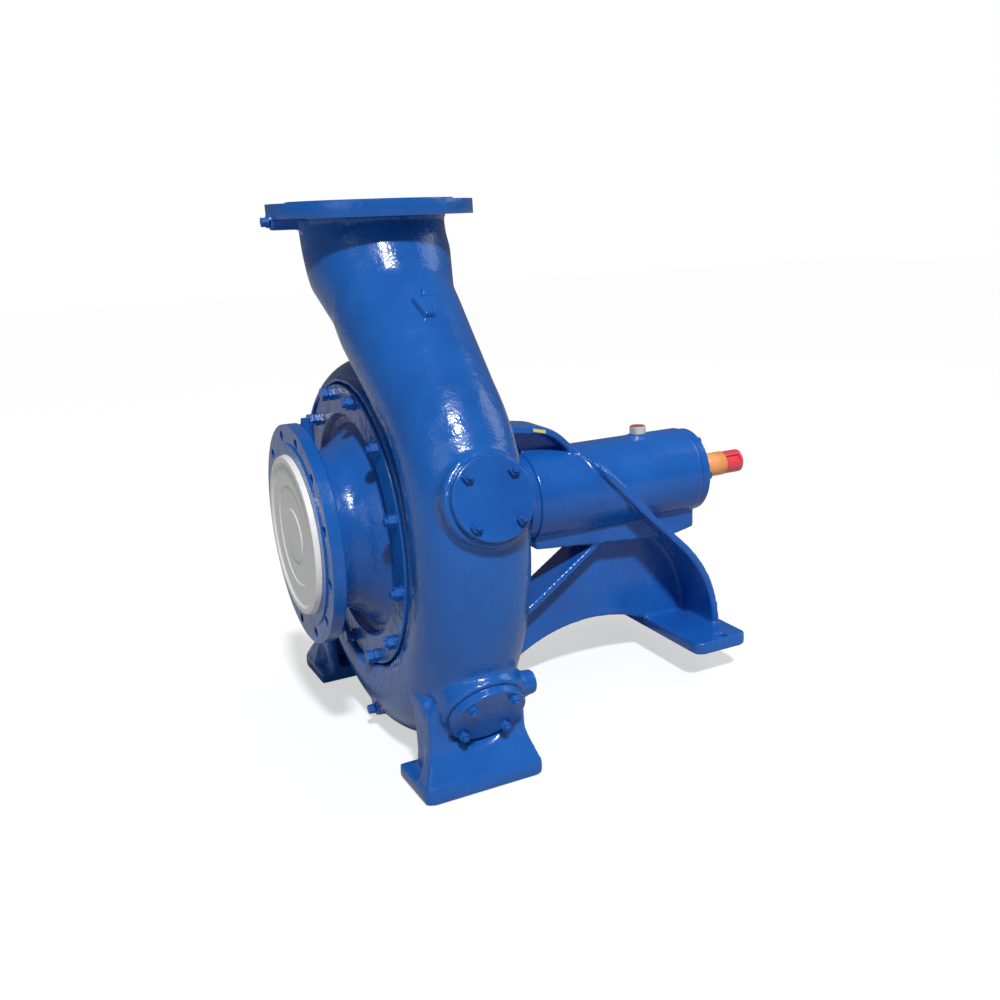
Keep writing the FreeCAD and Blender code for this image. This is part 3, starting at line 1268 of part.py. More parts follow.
def rotor():
    """Shaft with its impeller key, sleeve, thrower, impeller nut and bearing lock nut."""
    seat = d.impeller_seat_start
    back = d.chamber_half - d.impeller_gap
    lock_end = ball_seat_end + d.lock_thread_length
    end_start = d.shaft_end - d.shaft_end_length
    roller_bore = d.roller_bearing_bore / 2
    ball_bore = d.ball_bearing_bore / 2
    shaft = turned("pump_shaft", [
        (seat - d.shaft_thread_length, 0), (seat - d.shaft_thread_length, d.shaft_thread_radius),
        (seat, d.shaft_thread_radius), (seat, d.impeller_seat_radius), (back, d.impeller_seat_radius),
        (back, d.sleeve_seat_radius), (d.sleeve_end, d.sleeve_seat_radius),
        (d.sleeve_end, roller_bore - d.thread_gap), (roller_seat_end, roller_bore - d.thread_gap),
        (roller_seat_end, d.shaft_middle_radius), (ball_seat_start, d.shaft_middle_radius),
        (ball_seat_start, ball_bore - d.thread_gap), (ball_seat_end, ball_bore - d.thread_gap),
        (ball_seat_end, d.lock_thread_radius), (lock_end, d.lock_thread_radius),
        (lock_end, d.seal_land_radius), (end_start, d.seal_land_radius), (end_start, d.shaft_end_radius),
        (d.shaft_end - 2, d.shaft_end_radius), (d.shaft_end, d.shaft_end_radius - 2), (d.shaft_end, 0)])
    half = d.key_width / 2
    floor = d.impeller_seat_radius - d.key_height / 2
    sketch = across(shaft, "impeller_key_seat", d.key_start)
    draw_outline(sketch, [(-half, floor), (half, floor), (half, d.impeller_seat_radius + 2),
                          (-half, d.impeller_seat_radius + 2)])
    cut(sketch, d.key_length)
    key_floor = d.shaft_end_radius - d.coupling_key_height / 2 - 1
    key_half = d.coupling_key_width / 2
    key_start = d.shaft_end - 8 - d.coupling_key_length
    sketch = across(shaft, "coupling_key_seat", key_start)
    key_top = d.shaft_end_radius + 2
    slope, rise = sine(d.coupling_key_angle), cosine(d.coupling_key_angle)
    draw_outline(sketch, [(across_way * rise - out * slope, out * rise + across_way * slope)
                          for out, across_way in ((key_floor, -key_half), (key_top, -key_half),
                                                  (key_top, key_half), (key_floor, key_half))])
    cut(sketch, d.coupling_key_length)
    key = new_body("impeller_key")
    sketch = across(key, "impeller_key_outline", d.key_start + d.thread_gap)
    slim = half - d.thread_gap
    draw_outline(sketch, [(-slim, floor), (slim, floor), (slim, floor + d.key_height),
                          (-slim, floor + d.key_height)])
    pad(sketch, d.key_length - 2 * d.thread_gap)

    ring("shaft_sleeve", back, d.sleeve_end, d.sleeve_seat_radius + d.thread_gap, d.sleeve_radius)
    thrower_start = d.sleeve_end + 15
    turned("shaft_thrower", [
        (thrower_start, roller_bore), (thrower_start + 14, roller_bore),
        (thrower_start + 14, roller_bore + 10, 3), (thrower_start + 5, roller_bore + 13),
        (thrower_start + 5, d.thrower_radius), (thrower_start, d.thrower_radius)])

    cap_nut = new_body("impeller_nut")
    hexes(cap_nut, "cap_nut_hexagon", seat - 24, 18, [(as_size(0), as_size(0))], 50)
    turned_feature(cap_nut, "cap_nut_collar", [
        (seat - 6, 0), (seat - 6, 36), (seat, 36), (seat, 0)])
    turned_feature(cap_nut, "cap_nut_dome", [
        (seat - 38, 0), (seat - 38, 16, 8), (seat - 24, 23), (seat - 24, 0)])
    holes(cap_nut, "cap_nut_thread", seat - d.shaft_thread_length - d.thread_gap,
          d.shaft_thread_length + d.thread_gap, [(0, 0)], d.shaft_thread_radius + d.thread_gap)

    ring("bearing_lock_washer", ball_seat_end, ball_seat_end + 2, d.lock_thread_radius + d.thread_gap, 44)
    lock_nut = ring("bearing_lock_nut", ball_seat_end + 2, lock_end, d.lock_thread_radius + d.thread_gap, 44)
    holes(lock_nut, "lock_nut_slots", ball_seat_end + 2, d.lock_thread_length - 2,
          around(92, [0, 90, 180, 270]), 6)


volute_casing()
suction_cover()
cover_fasteners()
hand_cover("upper_handhole", d.upper_cover_angle, d.upper_cover_face)
hand_cover("lower_cleanout", d.lower_cover_angle, d.lower_cover_face)
plug("casing_drain_plug", drain_face, (as_size(drain_y), drain_z))
plug("discharge_gauge_plug", discharge_gauge_face, (as_size(0), discharge_gauge_z))
gauge_plug_on_top("suction_gauge_plug")
wet_end()
impeller()
bearing_bracket()
bearing_covers()
oil_plugs()
roller_bearing()
ball_bearings()
rotor()
doc.recompute()

# Every feature has to have worked, and every cut has to have removed something.
for item in doc.Objects:
    if "Invalid" in item.State or "Error" in item.State:
        raise RuntimeError(f"{item.Name} failed: {item.State}")
    if item.TypeId in ("PartDesign::Pocket", "PartDesign::Groove", "PartDesign::SubtractiveCone"):
        if item.BaseFeature.Shape.Volume - item.Shape.Volume < 1:
            raise RuntimeError(f"{item.Name} cut nothing")

os.makedirs("parts", exist_ok=True)
for piece in pieces:
    if piece.Shape.isNull() or not piece.Shape.isValid() or piece.Shape.Volume <= 0:
        raise RuntimeError(f"{piece.Label} has no valid shape")
    piece.Shape.exportStep(f"parts/{piece.Label}.step")
    print(piece.Label, len(piece.Shape.Solids), round(piece.Shape.Volume))
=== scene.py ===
import math

import bmesh
import bpy
from mathutils import Matrix, Vector


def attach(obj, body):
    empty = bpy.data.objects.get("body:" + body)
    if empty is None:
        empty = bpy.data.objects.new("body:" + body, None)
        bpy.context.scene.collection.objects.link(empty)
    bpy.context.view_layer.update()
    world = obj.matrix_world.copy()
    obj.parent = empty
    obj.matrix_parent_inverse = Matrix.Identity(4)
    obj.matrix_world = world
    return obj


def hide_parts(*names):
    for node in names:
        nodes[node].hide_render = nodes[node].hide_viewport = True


# A volute pump in glossy blue enamel over rough castings, with a grey transport cap
# in the suction nozzle and a red protective lacquer on the end of the shaft.
# The shaft runs along X, the discharge flange looks up, and lengths are metres.

AXIS_HEIGHT = 0.445
SHAFT_RADIUS = 0.0275
LACQUER_START = 0.752  # just inside the drive-side bearing cover
LACQUER_EDGE = 0.002
TAPE_START = 0.762
TAPE_END = 0.836
TAPE_GAP = 0.0001
TAPE_THICKNESS = 0.0012
FILLER_TOP = AXIS_HEIGHT + 0.1215  # the filler plug's bright head ends here, and its copper cap starts
FILLER_EDGE = 0.0004
CAP_RING_PITCH = 9  # millimetres between the moulding rings of the transport cap
FLANGE_BACK = 1.0525  # just under the discharge flange, where the cast neck meets it
FLANGE_OVERLAP = 0.004  # the cast skin runs this far up into the flange
WELD_DISTANCE = 0.00002

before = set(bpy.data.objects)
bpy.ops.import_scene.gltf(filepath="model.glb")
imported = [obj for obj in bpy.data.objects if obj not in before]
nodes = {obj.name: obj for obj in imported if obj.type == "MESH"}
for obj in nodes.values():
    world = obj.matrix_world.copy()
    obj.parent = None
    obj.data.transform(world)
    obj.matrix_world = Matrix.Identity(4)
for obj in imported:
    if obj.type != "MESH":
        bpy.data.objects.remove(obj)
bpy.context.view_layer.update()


# ---------------------------------------------------------------- finishes

def linear(code):
    """An sRGB hex colour as linear red, green, blue and alpha."""
    parts = [int(code[i:i + 2], 16) / 255 for i in (1, 3, 5)]
    return [p / 12.92 if p <= 0.04045 else ((p + 0.055) / 1.055) ** 2.4 for p in parts] + [1]


def add(material, kind, settings=None, **links):
    """Add one node. Settings name its properties or sockets; links name sockets, with _ for a space."""
    node = material.node_tree.nodes.new(kind)
    for name, value in (settings or {}).items():
        if name in node.inputs:
            node.inputs[name].default_value = value
        else:
            setattr(node, name, value)
    for name, output in links.items():
        socket = int(name[1:]) if name[1:].isdigit() else name.replace("_", " ")
        material.node_tree.links.new(output, node.inputs[socket])
    return node


def start_material(name, **sockets):
    """A material with its shader's own constant values; returns it, the shader and the object's own place."""
    material = bpy.data.materials.new(name)
    material.use_nodes = True
    shader = material.node_tree.nodes["Principled BSDF"]
    for socket, value in sockets.items():
        shader.inputs[socket.replace("_", " ")].default_value = value
    place = add(material, "ShaderNodeTexCoord").outputs["Object"]
    return material, shader, place


def per_mm(size):
    """Noise scale whose features are about this many millimetres across."""
    return 1000 / size


def enamel(name, light, dark, lump_mm, lump_depth, orange_peel, roughness=0.24):
    """Alkyd enamel brushed and sprayed over a casting: glossy, wavy, with the sand's grain under it."""
    material, shader, place = start_material(
        name, Coat_Weight=0.2, Coat_Roughness=0.1, Coat_IOR=1.5, IOR=1.5, Specular_IOR_Level=0.4)
    broad = add(material, "ShaderNodeTexNoise", {"Scale": per_mm(140), "Detail": 3, "Roughness": 0.55},
                Vector=place)
    tint = add(material, "ShaderNodeValToRGB", Fac=broad.outputs["Fac"])
    tint.color_ramp.elements[0].position = 0.3
    tint.color_ramp.elements[0].color = linear(dark)
    tint.color_ramp.elements[1].position = 0.7
    tint.color_ramp.elements[1].color = linear(light)
    material.node_tree.links.new(tint.outputs["Color"], shader.inputs["Base Color"])
    patchy = add(material, "ShaderNodeTexNoise", {"Scale": per_mm(28), "Detail": 4}, Vector=place)
    rough = add(material, "ShaderNodeMapRange", {
        "From Min": 0.3, "From Max": 0.7, "To Min": roughness - 0.07, "To Max": roughness + 0.1},
        Value=patchy.outputs["Fac"])
    material.node_tree.links.new(rough.outputs["Result"], shader.inputs["Roughness"])
    # Waves of the cast skin, then the finer orange peel of the thick paint
    waves = add(material, "ShaderNodeTexNoise", {"Scale": per_mm(lump_mm), "Detail": 2.5, "Roughness": 0.6},
                Vector=place)
    skin = add(material, "ShaderNodeBump", {"Strength": 1, "Distance": lump_depth / 1000},
               Height=waves.outputs["Fac"])
    peel = add(material, "ShaderNodeTexNoise", {"Scale": per_mm(5), "Detail": 2, "Roughness": 0.5},
               Vector=place)
    paint = add(material, "ShaderNodeBump", {"Strength": 1, "Distance": orange_peel / 1000},
                Height=peel.outputs["Fac"], Normal=skin.outputs["Normal"])
    material.node_tree.links.new(paint.outputs["Normal"], shader.inputs["Normal"])
    material.node_tree.links.new(paint.outputs["Normal"], shader.inputs["Coat Normal"])
    return material


def metal(name, light, dark, grain_mm, depth, roughness, stretch=(1, 1, 1), metallic=1.0):
    """A turned, ground or as-cast metal: its grain drawn by noise stretched along the tool's way."""
    material, shader, place = start_material(name, Metallic=metallic)
    turned_to = add(material, "ShaderNodeMapping", {"Scale": stretch}, Vector=place)
    grain = add(material, "ShaderNodeTexNoise", {"Scale": per_mm(grain_mm), "Detail": 4},
                Vector=turned_to.outputs["Vector"])
    tint = add(material, "ShaderNodeMix", {"data_type": "RGBA"})
    tint.inputs[6].default_value = linear(dark)
    tint.inputs[7].default_value = linear(light)
    material.node_tree.links.new(grain.outputs["Fac"], tint.inputs["Factor"])
    material.node_tree.links.new(tint.outputs[2], shader.inputs["Base Color"])
    rough = add(material, "ShaderNodeMapRange", {
        "From Min": 0.3, "From Max": 0.7, "To Min": roughness - 0.06, "To Max": roughness + 0.1},
        Value=grain.outputs["Fac"])
    material.node_tree.links.new(rough.outputs["Result"], shader.inputs["Roughness"])
    bump = add(material, "ShaderNodeBump", {"Strength": 1, "Distance": depth / 1000},
               Height=grain.outputs["Fac"])
    material.node_tree.links.new(bump.outputs["Normal"], shader.inputs["Normal"])
    return material


def plain_skin(name, light, dark, grain_mm, depth, roughness):
    """Rubber, fibre or plastic: no metal, a fine grain and slightly uneven colour."""
    return metal(name, light, dark, grain_mm, depth, roughness, metallic=0.0)


# Sand-cast iron under thick enamel: shallow lumps of about 30 mm, and a strong orange peel
cast_enamel = enamel("cast_iron_in_blue_enamel", "#1b60b4", "#1453a2", 22, 1.5, 0.4, 0.22)
# The bracket's skin is smoother than the volute's
bracket_enamel = enamel("bracket_in_blue_enamel", "#1b60b6", "#1553a5", 30, 1.0, 0.22, 0.2)
# Machined rims, covers and fasteners carry the same paint with less lumps
cover_enamel = enamel("machined_iron_in_blue_enamel", "#1c60b5", "#1552a3", 18, 0.6, 0.16)
fastener_enamel = enamel("fasteners_in_blue_enamel", "#1a5eb2", "#134e9f", 9, 0.25, 0.08, 0.3)
# Fibre sheet gaskets, cut edges only
gasket_fibre = plain_skin("compressed_fibre_sheet", "#3d4a55", "#2a333c", 2, 0.1, 0.85)
# Unpainted grey iron of the wheel and the gland
grey_iron = metal("grey_cast_iron", "#6b6a69", "#4b4a4a", 3, 0.25, 0.55)
# Turned steel: fine rings round the shaft, so the noise is stretched round it
turned_steel = metal("turned_steel", "#b9babc", "#8e9092", 1.5, 0.03, 0.28, (6, 1, 1))
ground_steel = metal("ground_bearing_steel", "#d0d2d5", "#b3b6ba", 1, 0.01, 0.16, (4, 1, 1))
cage_brass = metal("turned_brass", "#c9a253", "#a87f38", 1.5, 0.02, 0.3, (4, 1, 1))
seal_rubber = plain_skin("nitrile_rubber", "#1d1d1e", "#111112", 2, 0.05, 0.5)
graphite_packing = plain_skin("greased_braided_packing", "#35342f", "#1f1e1c", 3, 0.4, 0.6)


def cap_material():
    """Pressed polyethylene cap: even grey, satin, with faint moulding rings about its centre."""
    material, shader, place = start_material("moulded_grey_polyethylene", IOR=1.5, Specular_IOR_Level=0.45)
    speckle = add(material, "ShaderNodeTexNoise", {"Scale": per_mm(12), "Detail": 5}, Vector=place)
    tint = add(material, "ShaderNodeMix", {"data_type": "RGBA"})
    tint.inputs[6].default_value = linear("#d8d9d9")
    tint.inputs[7].default_value = linear("#ebecea")
    material.node_tree.links.new(speckle.outputs["Fac"], tint.inputs["Factor"])
    material.node_tree.links.new(tint.outputs[2], shader.inputs["Base Color"])
    rough = add(material, "ShaderNodeMapRange", {"To Min": 0.38, "To Max": 0.6}, Value=speckle.outputs["Fac"])
    material.node_tree.links.new(rough.outputs["Result"], shader.inputs["Roughness"])
    # Moulding rings round the cap's centre; a wave texture of scale 1 has 20 rings to the metre
    centred = add(material, "ShaderNodeMapping", {"Location": (0, 0, -AXIS_HEIGHT)}, Vector=place)
    rings = add(material, "ShaderNodeTexWave", {
        "wave_type": "RINGS", "rings_direction": "X", "Scale": per_mm(CAP_RING_PITCH) / 20, "Distortion": 0.0},
        Vector=centred.outputs["Vector"])
    bump = add(material, "ShaderNodeBump", {"Strength": 1, "Distance": 0.0003}, Height=rings.outputs["Fac"])
    material.node_tree.links.new(bump.outputs["Normal"], shader.inputs["Normal"])
    return material


def plug_material():
    """Dull nickel-plated plug whose flat top is copper brown."""
    material, shader, place = start_material("nickel_plated_plug_with_copper_top", Metallic=0.45)
    grain = add(material, "ShaderNodeTexNoise", {"Scale": per_mm(2.5), "Detail": 4}, Vector=place)
    height = add(material, "ShaderNodeSeparateXYZ", Vector=place)
    top = add(material, "ShaderNodeMapRange", {"From Min": FILLER_TOP, "From Max": FILLER_TOP + FILLER_EDGE},
              Value=height.outputs["Z"])
    tint = add(material, "ShaderNodeMix", {"data_type": "RGBA"})
    tint.inputs[6].default_value = linear("#e6e3df")
    tint.inputs[7].default_value = linear("#cf7a55")
    material.node_tree.links.new(top.outputs["Result"], tint.inputs["Factor"])
    material.node_tree.links.new(tint.outputs[2], shader.inputs["Base Color"])
    rough = add(material, "ShaderNodeMapRange", {"To Min": 0.2, "To Max": 0.42}, Value=grain.outputs["Fac"])
    material.node_tree.links.new(rough.outputs["Result"], shader.inputs["Roughness"])
    bump = add(material, "ShaderNodeBump", {"Strength": 1, "Distance": 0.00008}, Height=grain.outputs["Fac"])
    material.node_tree.links.new(bump.outputs["Normal"], shader.inputs["Normal"])
    return material


def shaft_material():
    """Turned steel, with a red strippable lacquer over the free end only: streaky, thin and glossy."""
    material, shader, place = start_material(
        "turned_steel_with_red_lacquered_end", Coat_Weight=0.3, Coat_Roughness=0.12)
    along = add(material, "ShaderNodeSeparateXYZ", Vector=place)
    lacquer = add(material, "ShaderNodeMapRange", {
        "From Min": LACQUER_START, "From Max": LACQUER_START + LACQUER_EDGE}, Value=along.outputs["X"])
    streaks = add(material, "ShaderNodeTexNoise", {"Scale": per_mm(7), "Detail": 4}, Vector=place)
    red = add(material, "ShaderNodeMix", {"data_type": "RGBA"})
    red.inputs[6].default_value = linear("#d02435")
    red.inputs[7].default_value = linear("#f25560")
    material.node_tree.links.new(streaks.outputs["Fac"], red.inputs["Factor"])
    tint = add(material, "ShaderNodeMix", {"data_type": "RGBA"})
    tint.inputs[6].default_value = linear("#a9abad")
    material.node_tree.links.new(red.outputs[2], tint.inputs[7])
    material.node_tree.links.new(lacquer.outputs["Result"], tint.inputs["Factor"])
    material.node_tree.links.new(tint.outputs[2], shader.inputs["Base Color"])
    bare = add(material, "ShaderNodeMapRange", {"To Min": 1, "To Max": 0}, Value=lacquer.outputs["Result"])
    material.node_tree.links.new(bare.outputs["Result"], shader.inputs["Metallic"])
    rough = add(material, "ShaderNodeMapRange", {"To Min": 0.24, "To Max": 0.42},
                Value=streaks.outputs["Fac"])
    material.node_tree.links.new(rough.outputs["Result"], shader.inputs["Roughness"])
    bump = add(material, "ShaderNodeBump", {"Strength": 1, "Distance": 0.00015},
               Height=streaks.outputs["Fac"])
    material.node_tree.links.new(bump.outputs["Normal"], shader.inputs["Normal"])
    return material


def wrap_material(name, light, dark, roughness):
    """A thin plain film with small creases about 8 mm apart."""
    return metal(name, light, dark, 8, 0.35, roughness, metallic=0.0)


orange_tape = wrap_material("orange_polyethylene_tape", "#fbb068", "#f0985c", 0.4)
yellow_film = wrap_material("yellow_vinyl_film", "#e9e27a", "#d8cf5e", 0.45)

FINISHES = [
    (cast_enamel, ["volute_casing", "suction_cover"]),
    (cover_enamel, ["upper_handhole_cover", "lower_cleanout_cover", "casing_cover"]),
    (bracket_enamel, ["bearing_bracket", "pump_side_bearing_cover", "drive_side_bearing_cover"]),
    (fastener_enamel, [
        "suction_cover_studs", "suction_cover_washers", "suction_cover_nuts", "adjusting_lock_nuts",
        "adjusting_screws", "upper_handhole_studs", "upper_handhole_nuts", "lower_cleanout_studs",
        "lower_cleanout_nuts", "casing_drain_plug", "suction_gauge_plug", "discharge_gauge_plug",
        "bracket_studs", "bracket_nuts", "bearing_cover_screws", "oil_drain_plug"]),
    (gasket_fibre, [
        "upper_handhole_gasket", "lower_cleanout_gasket", "suction_cover_gasket", "casing_cover_gasket"]),
    (grey_iron, ["impeller", "gland"]),
    (turned_steel, [
        "suction_wear_ring", "shaft_sleeve", "lantern_ring", "gland_studs", "gland_nuts", "impeller_nut",
        "impeller_key", "bearing_lock_washer", "bearing_lock_nut"]),
    (ground_steel, [
        "roller_bearing_outer_ring", "roller_bearing_inner_ring", "bearing_rollers",
        "ball_bearing_outer_rings", "ball_bearing_inner_rings", "bearing_balls"]),
    (cage_brass, ["roller_cage", "ball_cages"]),
    (seal_rubber, ["pump_side_shaft_seal", "drive_side_shaft_seal", "shaft_thrower"]),
    (graphite_packing, ["packing_rings"]),
    (plug_material(), ["oil_filler_plug"]),
    (cap_material(), ["suction_cap"]),
    (shaft_material(), ["pump_shaft"]),
]
for finish, names in FINISHES:
    for name in names:
        nodes[name].data.materials.clear()
        nodes[name].data.materials.append(finish)


# ---------------------------------------------------------------- cast skins

def finish_piece(name, shape, finish, body):
    """Make a piece from a bmesh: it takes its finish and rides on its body."""
    mesh = bpy.data.meshes.new(name)
    shape.to_mesh(mesh)
    shape.free()
    mesh.materials.append(finish)
    piece = bpy.data.objects.new(name, mesh)
    bpy.context.scene.collection.objects.link(piece)
    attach(piece, body)
    return piece


def merged_copy(node):
    """A closed copy of a node's mesh, as a bmesh."""
    shape = bmesh.new()
    shape.from_mesh(nodes[node].data)
    bmesh.ops.remove_doubles(shape, verts=shape.verts, dist=WELD_DISTANCE)
    return shape


def keep_side(shape, point, normal):
    """Cut a bmesh by a plane, keep what lies against the normal, and close the cut round its bore."""
    found = bmesh.ops.bisect_plane(
        shape, geom=shape.verts[:] + shape.edges[:] + shape.faces[:], plane_co=point, plane_no=normal,
        clear_outer=True, dist=0.000001)
    rim = [e for e in found["geom_cut"] if isinstance(e, bmesh.types.BMEdge)]
    bmesh.ops.triangle_fill(shape, edges=rim, use_beauty=True, normal=normal)


def apply_modifiers(piece):
    """Bake a piece's modifiers into its mesh."""
    shown = bpy.context.evaluated_depsgraph_get()
    baked = bpy.data.meshes.new_from_object(piece.evaluated_get(shown))
    piece.modifiers.clear()
    piece.data = baked


def cast_skin(name, shape, finish, voxel, rounding, share):
    """A sand casting's soft skin: its sharp corners and joins become fillets of a few millimetres."""
    piece = finish_piece(name, shape, finish, "root")
    remesh = piece.modifiers.new("casting_skin", "REMESH")
    remesh.mode = "VOXEL"
    remesh.voxel_size = voxel
    remesh.use_smooth_shade = True
    soften = piece.modifiers.new("soften", "SMOOTH")
    soften.factor = 0.5
    soften.iterations = rounding
    thin = piece.modifiers.new("thin", "DECIMATE")
    thin.ratio = share
    apply_modifiers(piece)
    for face in piece.data.polygons:
        face.use_smooth = True
    return piece


def rim_piece(name, node, point, normal, finish):
    """A machined part of a casting, cut from the node's own mesh, with its edges just broken."""
    shape = merged_copy(node)
    keep_side(shape, point, normal)
    piece = finish_piece(name, shape, finish, "root")
    edges = piece.modifiers.new("broken_edges", "BEVEL")
    edges.width = 0.0015
    edges.segments = 2
    edges.limit_method = "ANGLE"
    edges.angle_limit = math.radians(40)
    return piece


body = merged_copy("volute_casing")
keep_side(body, (0, 0, FLANGE_BACK + FLANGE_OVERLAP), (0, 0, 1))
casing_skin = cast_skin("volute_casing_skin", body, cast_enamel, 0.0045, 10, 0.5)
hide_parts("volute_casing")
rim_piece("discharge_flange_rim", "volute_casing", (0, 0, FLANGE_BACK), (0, 0, -1), cast_enamel)

bracket_skin = cast_skin("bearing_bracket_skin", merged_copy("bearing_bracket"), bracket_enamel,
                         0.0036, 8, 0.6)
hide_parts("bearing_bracket")


# ---------------------------------------------------------------- lug on the neck, wraps and films

def raised_plate(corners, outward, depth, rise, taper=0.0):
    """A plate on a skin: its corners lie on the skin, and it reaches below it and stands out from it."""
    shape = bmesh.new()
    outward = Vector(outward).normalized()
    corners = [Vector(corner) for corner in corners]
    centre = sum(corners, Vector()) / len(corners)
    inner = [shape.verts.new(corner - outward * depth) for corner in corners]
    outer = [shape.verts.new(corner.lerp(centre, taper) + outward * rise) for corner in corners]
    shape.faces.new(inner)
    shape.faces.new(outer)
    for i in range(len(corners)):
        j = (i + 1) % len(corners)
        shape.faces.new([inner[i], inner[j], outer[j], outer[i]])
    bmesh.ops.recalc_face_normals(shape, faces=shape.faces)
    return shape


# The cast lug on the near side of the neck: wide at its top edge, narrow below, with a pin on it
LUG_CORNERS = [(-0.025, -0.236, 0.909), (0.031, -0.234, 0.909), (0.011, -0.274, 0.876),
               (-0.013, -0.274, 0.876)]
NECK_OUTWARD = (0.02, -0.68, 0.73)
LUG_ROOT = 0.008
LUG_RISE = 0.012
LUG_TAPER = 0.18
LUG_ROUNDING = 0.003
PIN_PLACE = (0.0035, -0.239, 0.914)
PIN_ROOT_RADIUS = 0.0055
PIN_TIP_RADIUS = 0.0035
PIN_LENGTH = 0.024

lug = raised_plate(LUG_CORNERS, NECK_OUTWARD, LUG_ROOT, LUG_RISE, LUG_TAPER)
bmesh.ops.bevel(lug, geom=lug.edges[:], offset=LUG_ROUNDING, segments=3, profile=0.5, affect="EDGES")
for face in lug.faces:
    face.smooth = True
finish_piece("neck_lug_casting", lug, cast_enamel, "root")
pin = bmesh.new()
bmesh.ops.create_cone(pin, cap_ends=True, segments=24, radius1=PIN_ROOT_RADIUS, radius2=PIN_TIP_RADIUS,
                      depth=PIN_LENGTH, matrix=Matrix.Translation(PIN_PLACE))
for face in pin.faces:
    face.smooth = abs(face.normal.z) < 0.5
finish_piece("neck_lug_pin", pin, cast_enamel, "root")

# A bare yellow sticker on the near edge of the top strut
STICKER_CORNERS = [(0.304, -0.0479, 0.6045), (0.334, -0.0479, 0.5975), (0.334, -0.0479, 0.5905),
                   (0.304, -0.0479, 0.5975)]
STICKER_ROOT = 0.0002
STICKER_RISE = 0.0006
sticker = raised_plate(STICKER_CORNERS, (0, -1, 0), STICKER_ROOT, STICKER_RISE)
finish_piece("strut_sticker", sticker, yellow_film, "root")

def tube_band(start, end, radius, wall, segments=64):
    """A thin band round the shaft, spun from a short wall."""
    shape = bmesh.new()
    inner = AXIS_HEIGHT + radius
    outer = inner + wall
    corners = [shape.verts.new((x, 0, z)) for x, z in ((start, inner), (end, inner), (end, outer), (start, outer))]
    edges = [shape.edges.new((corners[i], corners[(i + 1) % 4])) for i in range(4)]
    bmesh.ops.spin(shape, geom=corners + edges, cent=(0, 0, AXIS_HEIGHT), axis=(1, 0, 0), angle=2 * math.pi,
                   steps=segments, use_merge=True)
    bmesh.ops.remove_doubles(shape, verts=shape.verts, dist=0.00001)
    bmesh.ops.recalc_face_normals(shape, faces=shape.faces)
    return shape


band = tube_band(TAPE_START, TAPE_END, SHAFT_RADIUS + TAPE_GAP, TAPE_THICKNESS)
for face in band.faces:
    face.smooth = abs(face.normal.x) < 0.5
finish_piece("orange_tape_wrap", band, orange_tape, "rotor")


# ---------------------------------------------------------------- floor, light and camera

ground = bmesh.new()
bmesh.ops.create_grid(ground, x_segments=1, y_segments=1, size=14)
ground_mesh = bpy.data.meshes.new("floor")
ground.to_mesh(ground_mesh)
ground.free()
floor = bpy.data.objects.new("floor", ground_mesh)
floor.location = (0, 0, -0.0008)  # a hair under the feet, so that the two never flicker
bpy.context.scene.collection.objects.link(floor)

# Matt white studio floor: the camera sees it a little lighter than its paint, and it keeps the shadow
paper, paper_shader, paper_place = start_material("matt_white_studio_floor", Roughness=0.9)
paper_shader.inputs["Base Color"].default_value = linear("#b8b8b8")
seen = add(paper, "ShaderNodeLightPath")
lift = add(paper, "ShaderNodeMapRange", {"To Min": 0, "To Max": 0.57}, Value=seen.outputs["Is Camera Ray"])
paper_shader.inputs["Emission Color"].default_value = (1, 1, 1, 1)
paper.node_tree.links.new(lift.outputs["Result"], paper_shader.inputs["Emission Strength"])
floor.data.materials.append(paper)

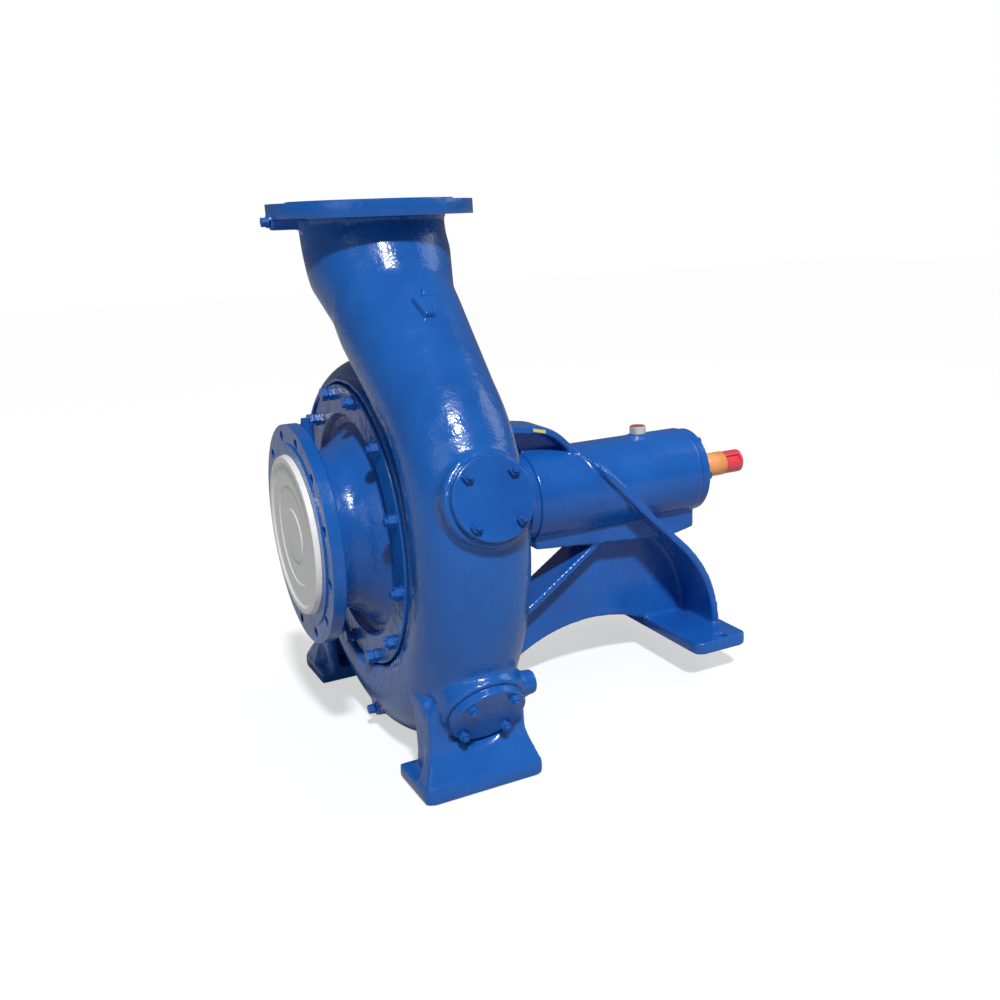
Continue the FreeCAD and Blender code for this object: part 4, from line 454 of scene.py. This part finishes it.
world = bpy.data.worlds.new("studio")
bpy.context.scene.world = world
world.use_nodes = True
backdrop = world.node_tree.nodes["Background"]
rays = add(world, "ShaderNodeLightPath")
plain = add(world, "ShaderNodeMath", {"operation": "MAXIMUM"}, _0=rays.outputs["Is Camera Ray"],
            _1=rays.outputs["Is Transmission Ray"])
level = add(world, "ShaderNodeMapRange", {"To Min": 0.14, "To Max": 1.0}, Value=plain.outputs["Value"])
backdrop.inputs["Color"].default_value = (1, 1, 1, 1)
world.node_tree.links.new(level.outputs["Result"], backdrop.inputs["Strength"])


def lamp(name, kind, place, target, energy, **settings):
    """A studio lamp that points at a target."""
    light = bpy.data.lights.new(name, kind)
    light.energy = energy
    for key, value in settings.items():
        setattr(light, key, value)
    holder = bpy.data.objects.new(name, light)
    holder.location = place
    holder.rotation_mode = "QUATERNION"
    holder.rotation_quaternion = (Vector(target) - Vector(place)).to_track_quat("-Z", "Y")
    bpy.context.scene.collection.objects.link(holder)
    return holder


middle = (0.2, 0, 0.5)  # about the centre of the pump, where every lamp points
lamp("high_sun", "SUN", (-0.5, -3.0, 4.2), middle, 3.0, angle=math.radians(5))
lamp("near_left_softbox", "AREA", (-3.4, -2.6, 2.2), middle, 16, size=2.2)
lamp("far_right_softbox", "AREA", (3.6, -0.6, 2.6), middle, 22, size=2.0)

# The photograph's camera, fitted to both flanges, the shaft and the feet
camera = bpy.data.cameras.new("camera")
camera.sensor_width = 36
camera.lens = 39.53
camera.shift_x = -0.0895
camera.shift_y = 0.0295
camera.clip_start = 0.05
camera.clip_end = 60
azimuth, elevation, roll = -0.50891, 0.28414, -0.03487
holder = bpy.data.objects.new("camera", camera)
back = Vector((math.sin(azimuth) * math.cos(elevation), -math.cos(azimuth) * math.cos(elevation),
               math.sin(elevation)))
right = Vector((math.cos(azimuth), math.sin(azimuth), 0))
up = back.cross(right)
turned_right = right * math.cos(roll) + up * math.sin(roll)
turned_up = up * math.cos(roll) - right * math.sin(roll)
axes = Matrix((turned_right, turned_up, back)).transposed()
holder.rotation_mode = "QUATERNION"
holder.rotation_quaternion = axes.to_quaternion()
holder.location = (-0.73135, -2.13717, 1.05436)
bpy.context.scene.collection.objects.link(holder)
bpy.context.scene.camera = holder
bpy.context.scene.view_settings.view_transform = "Standard"
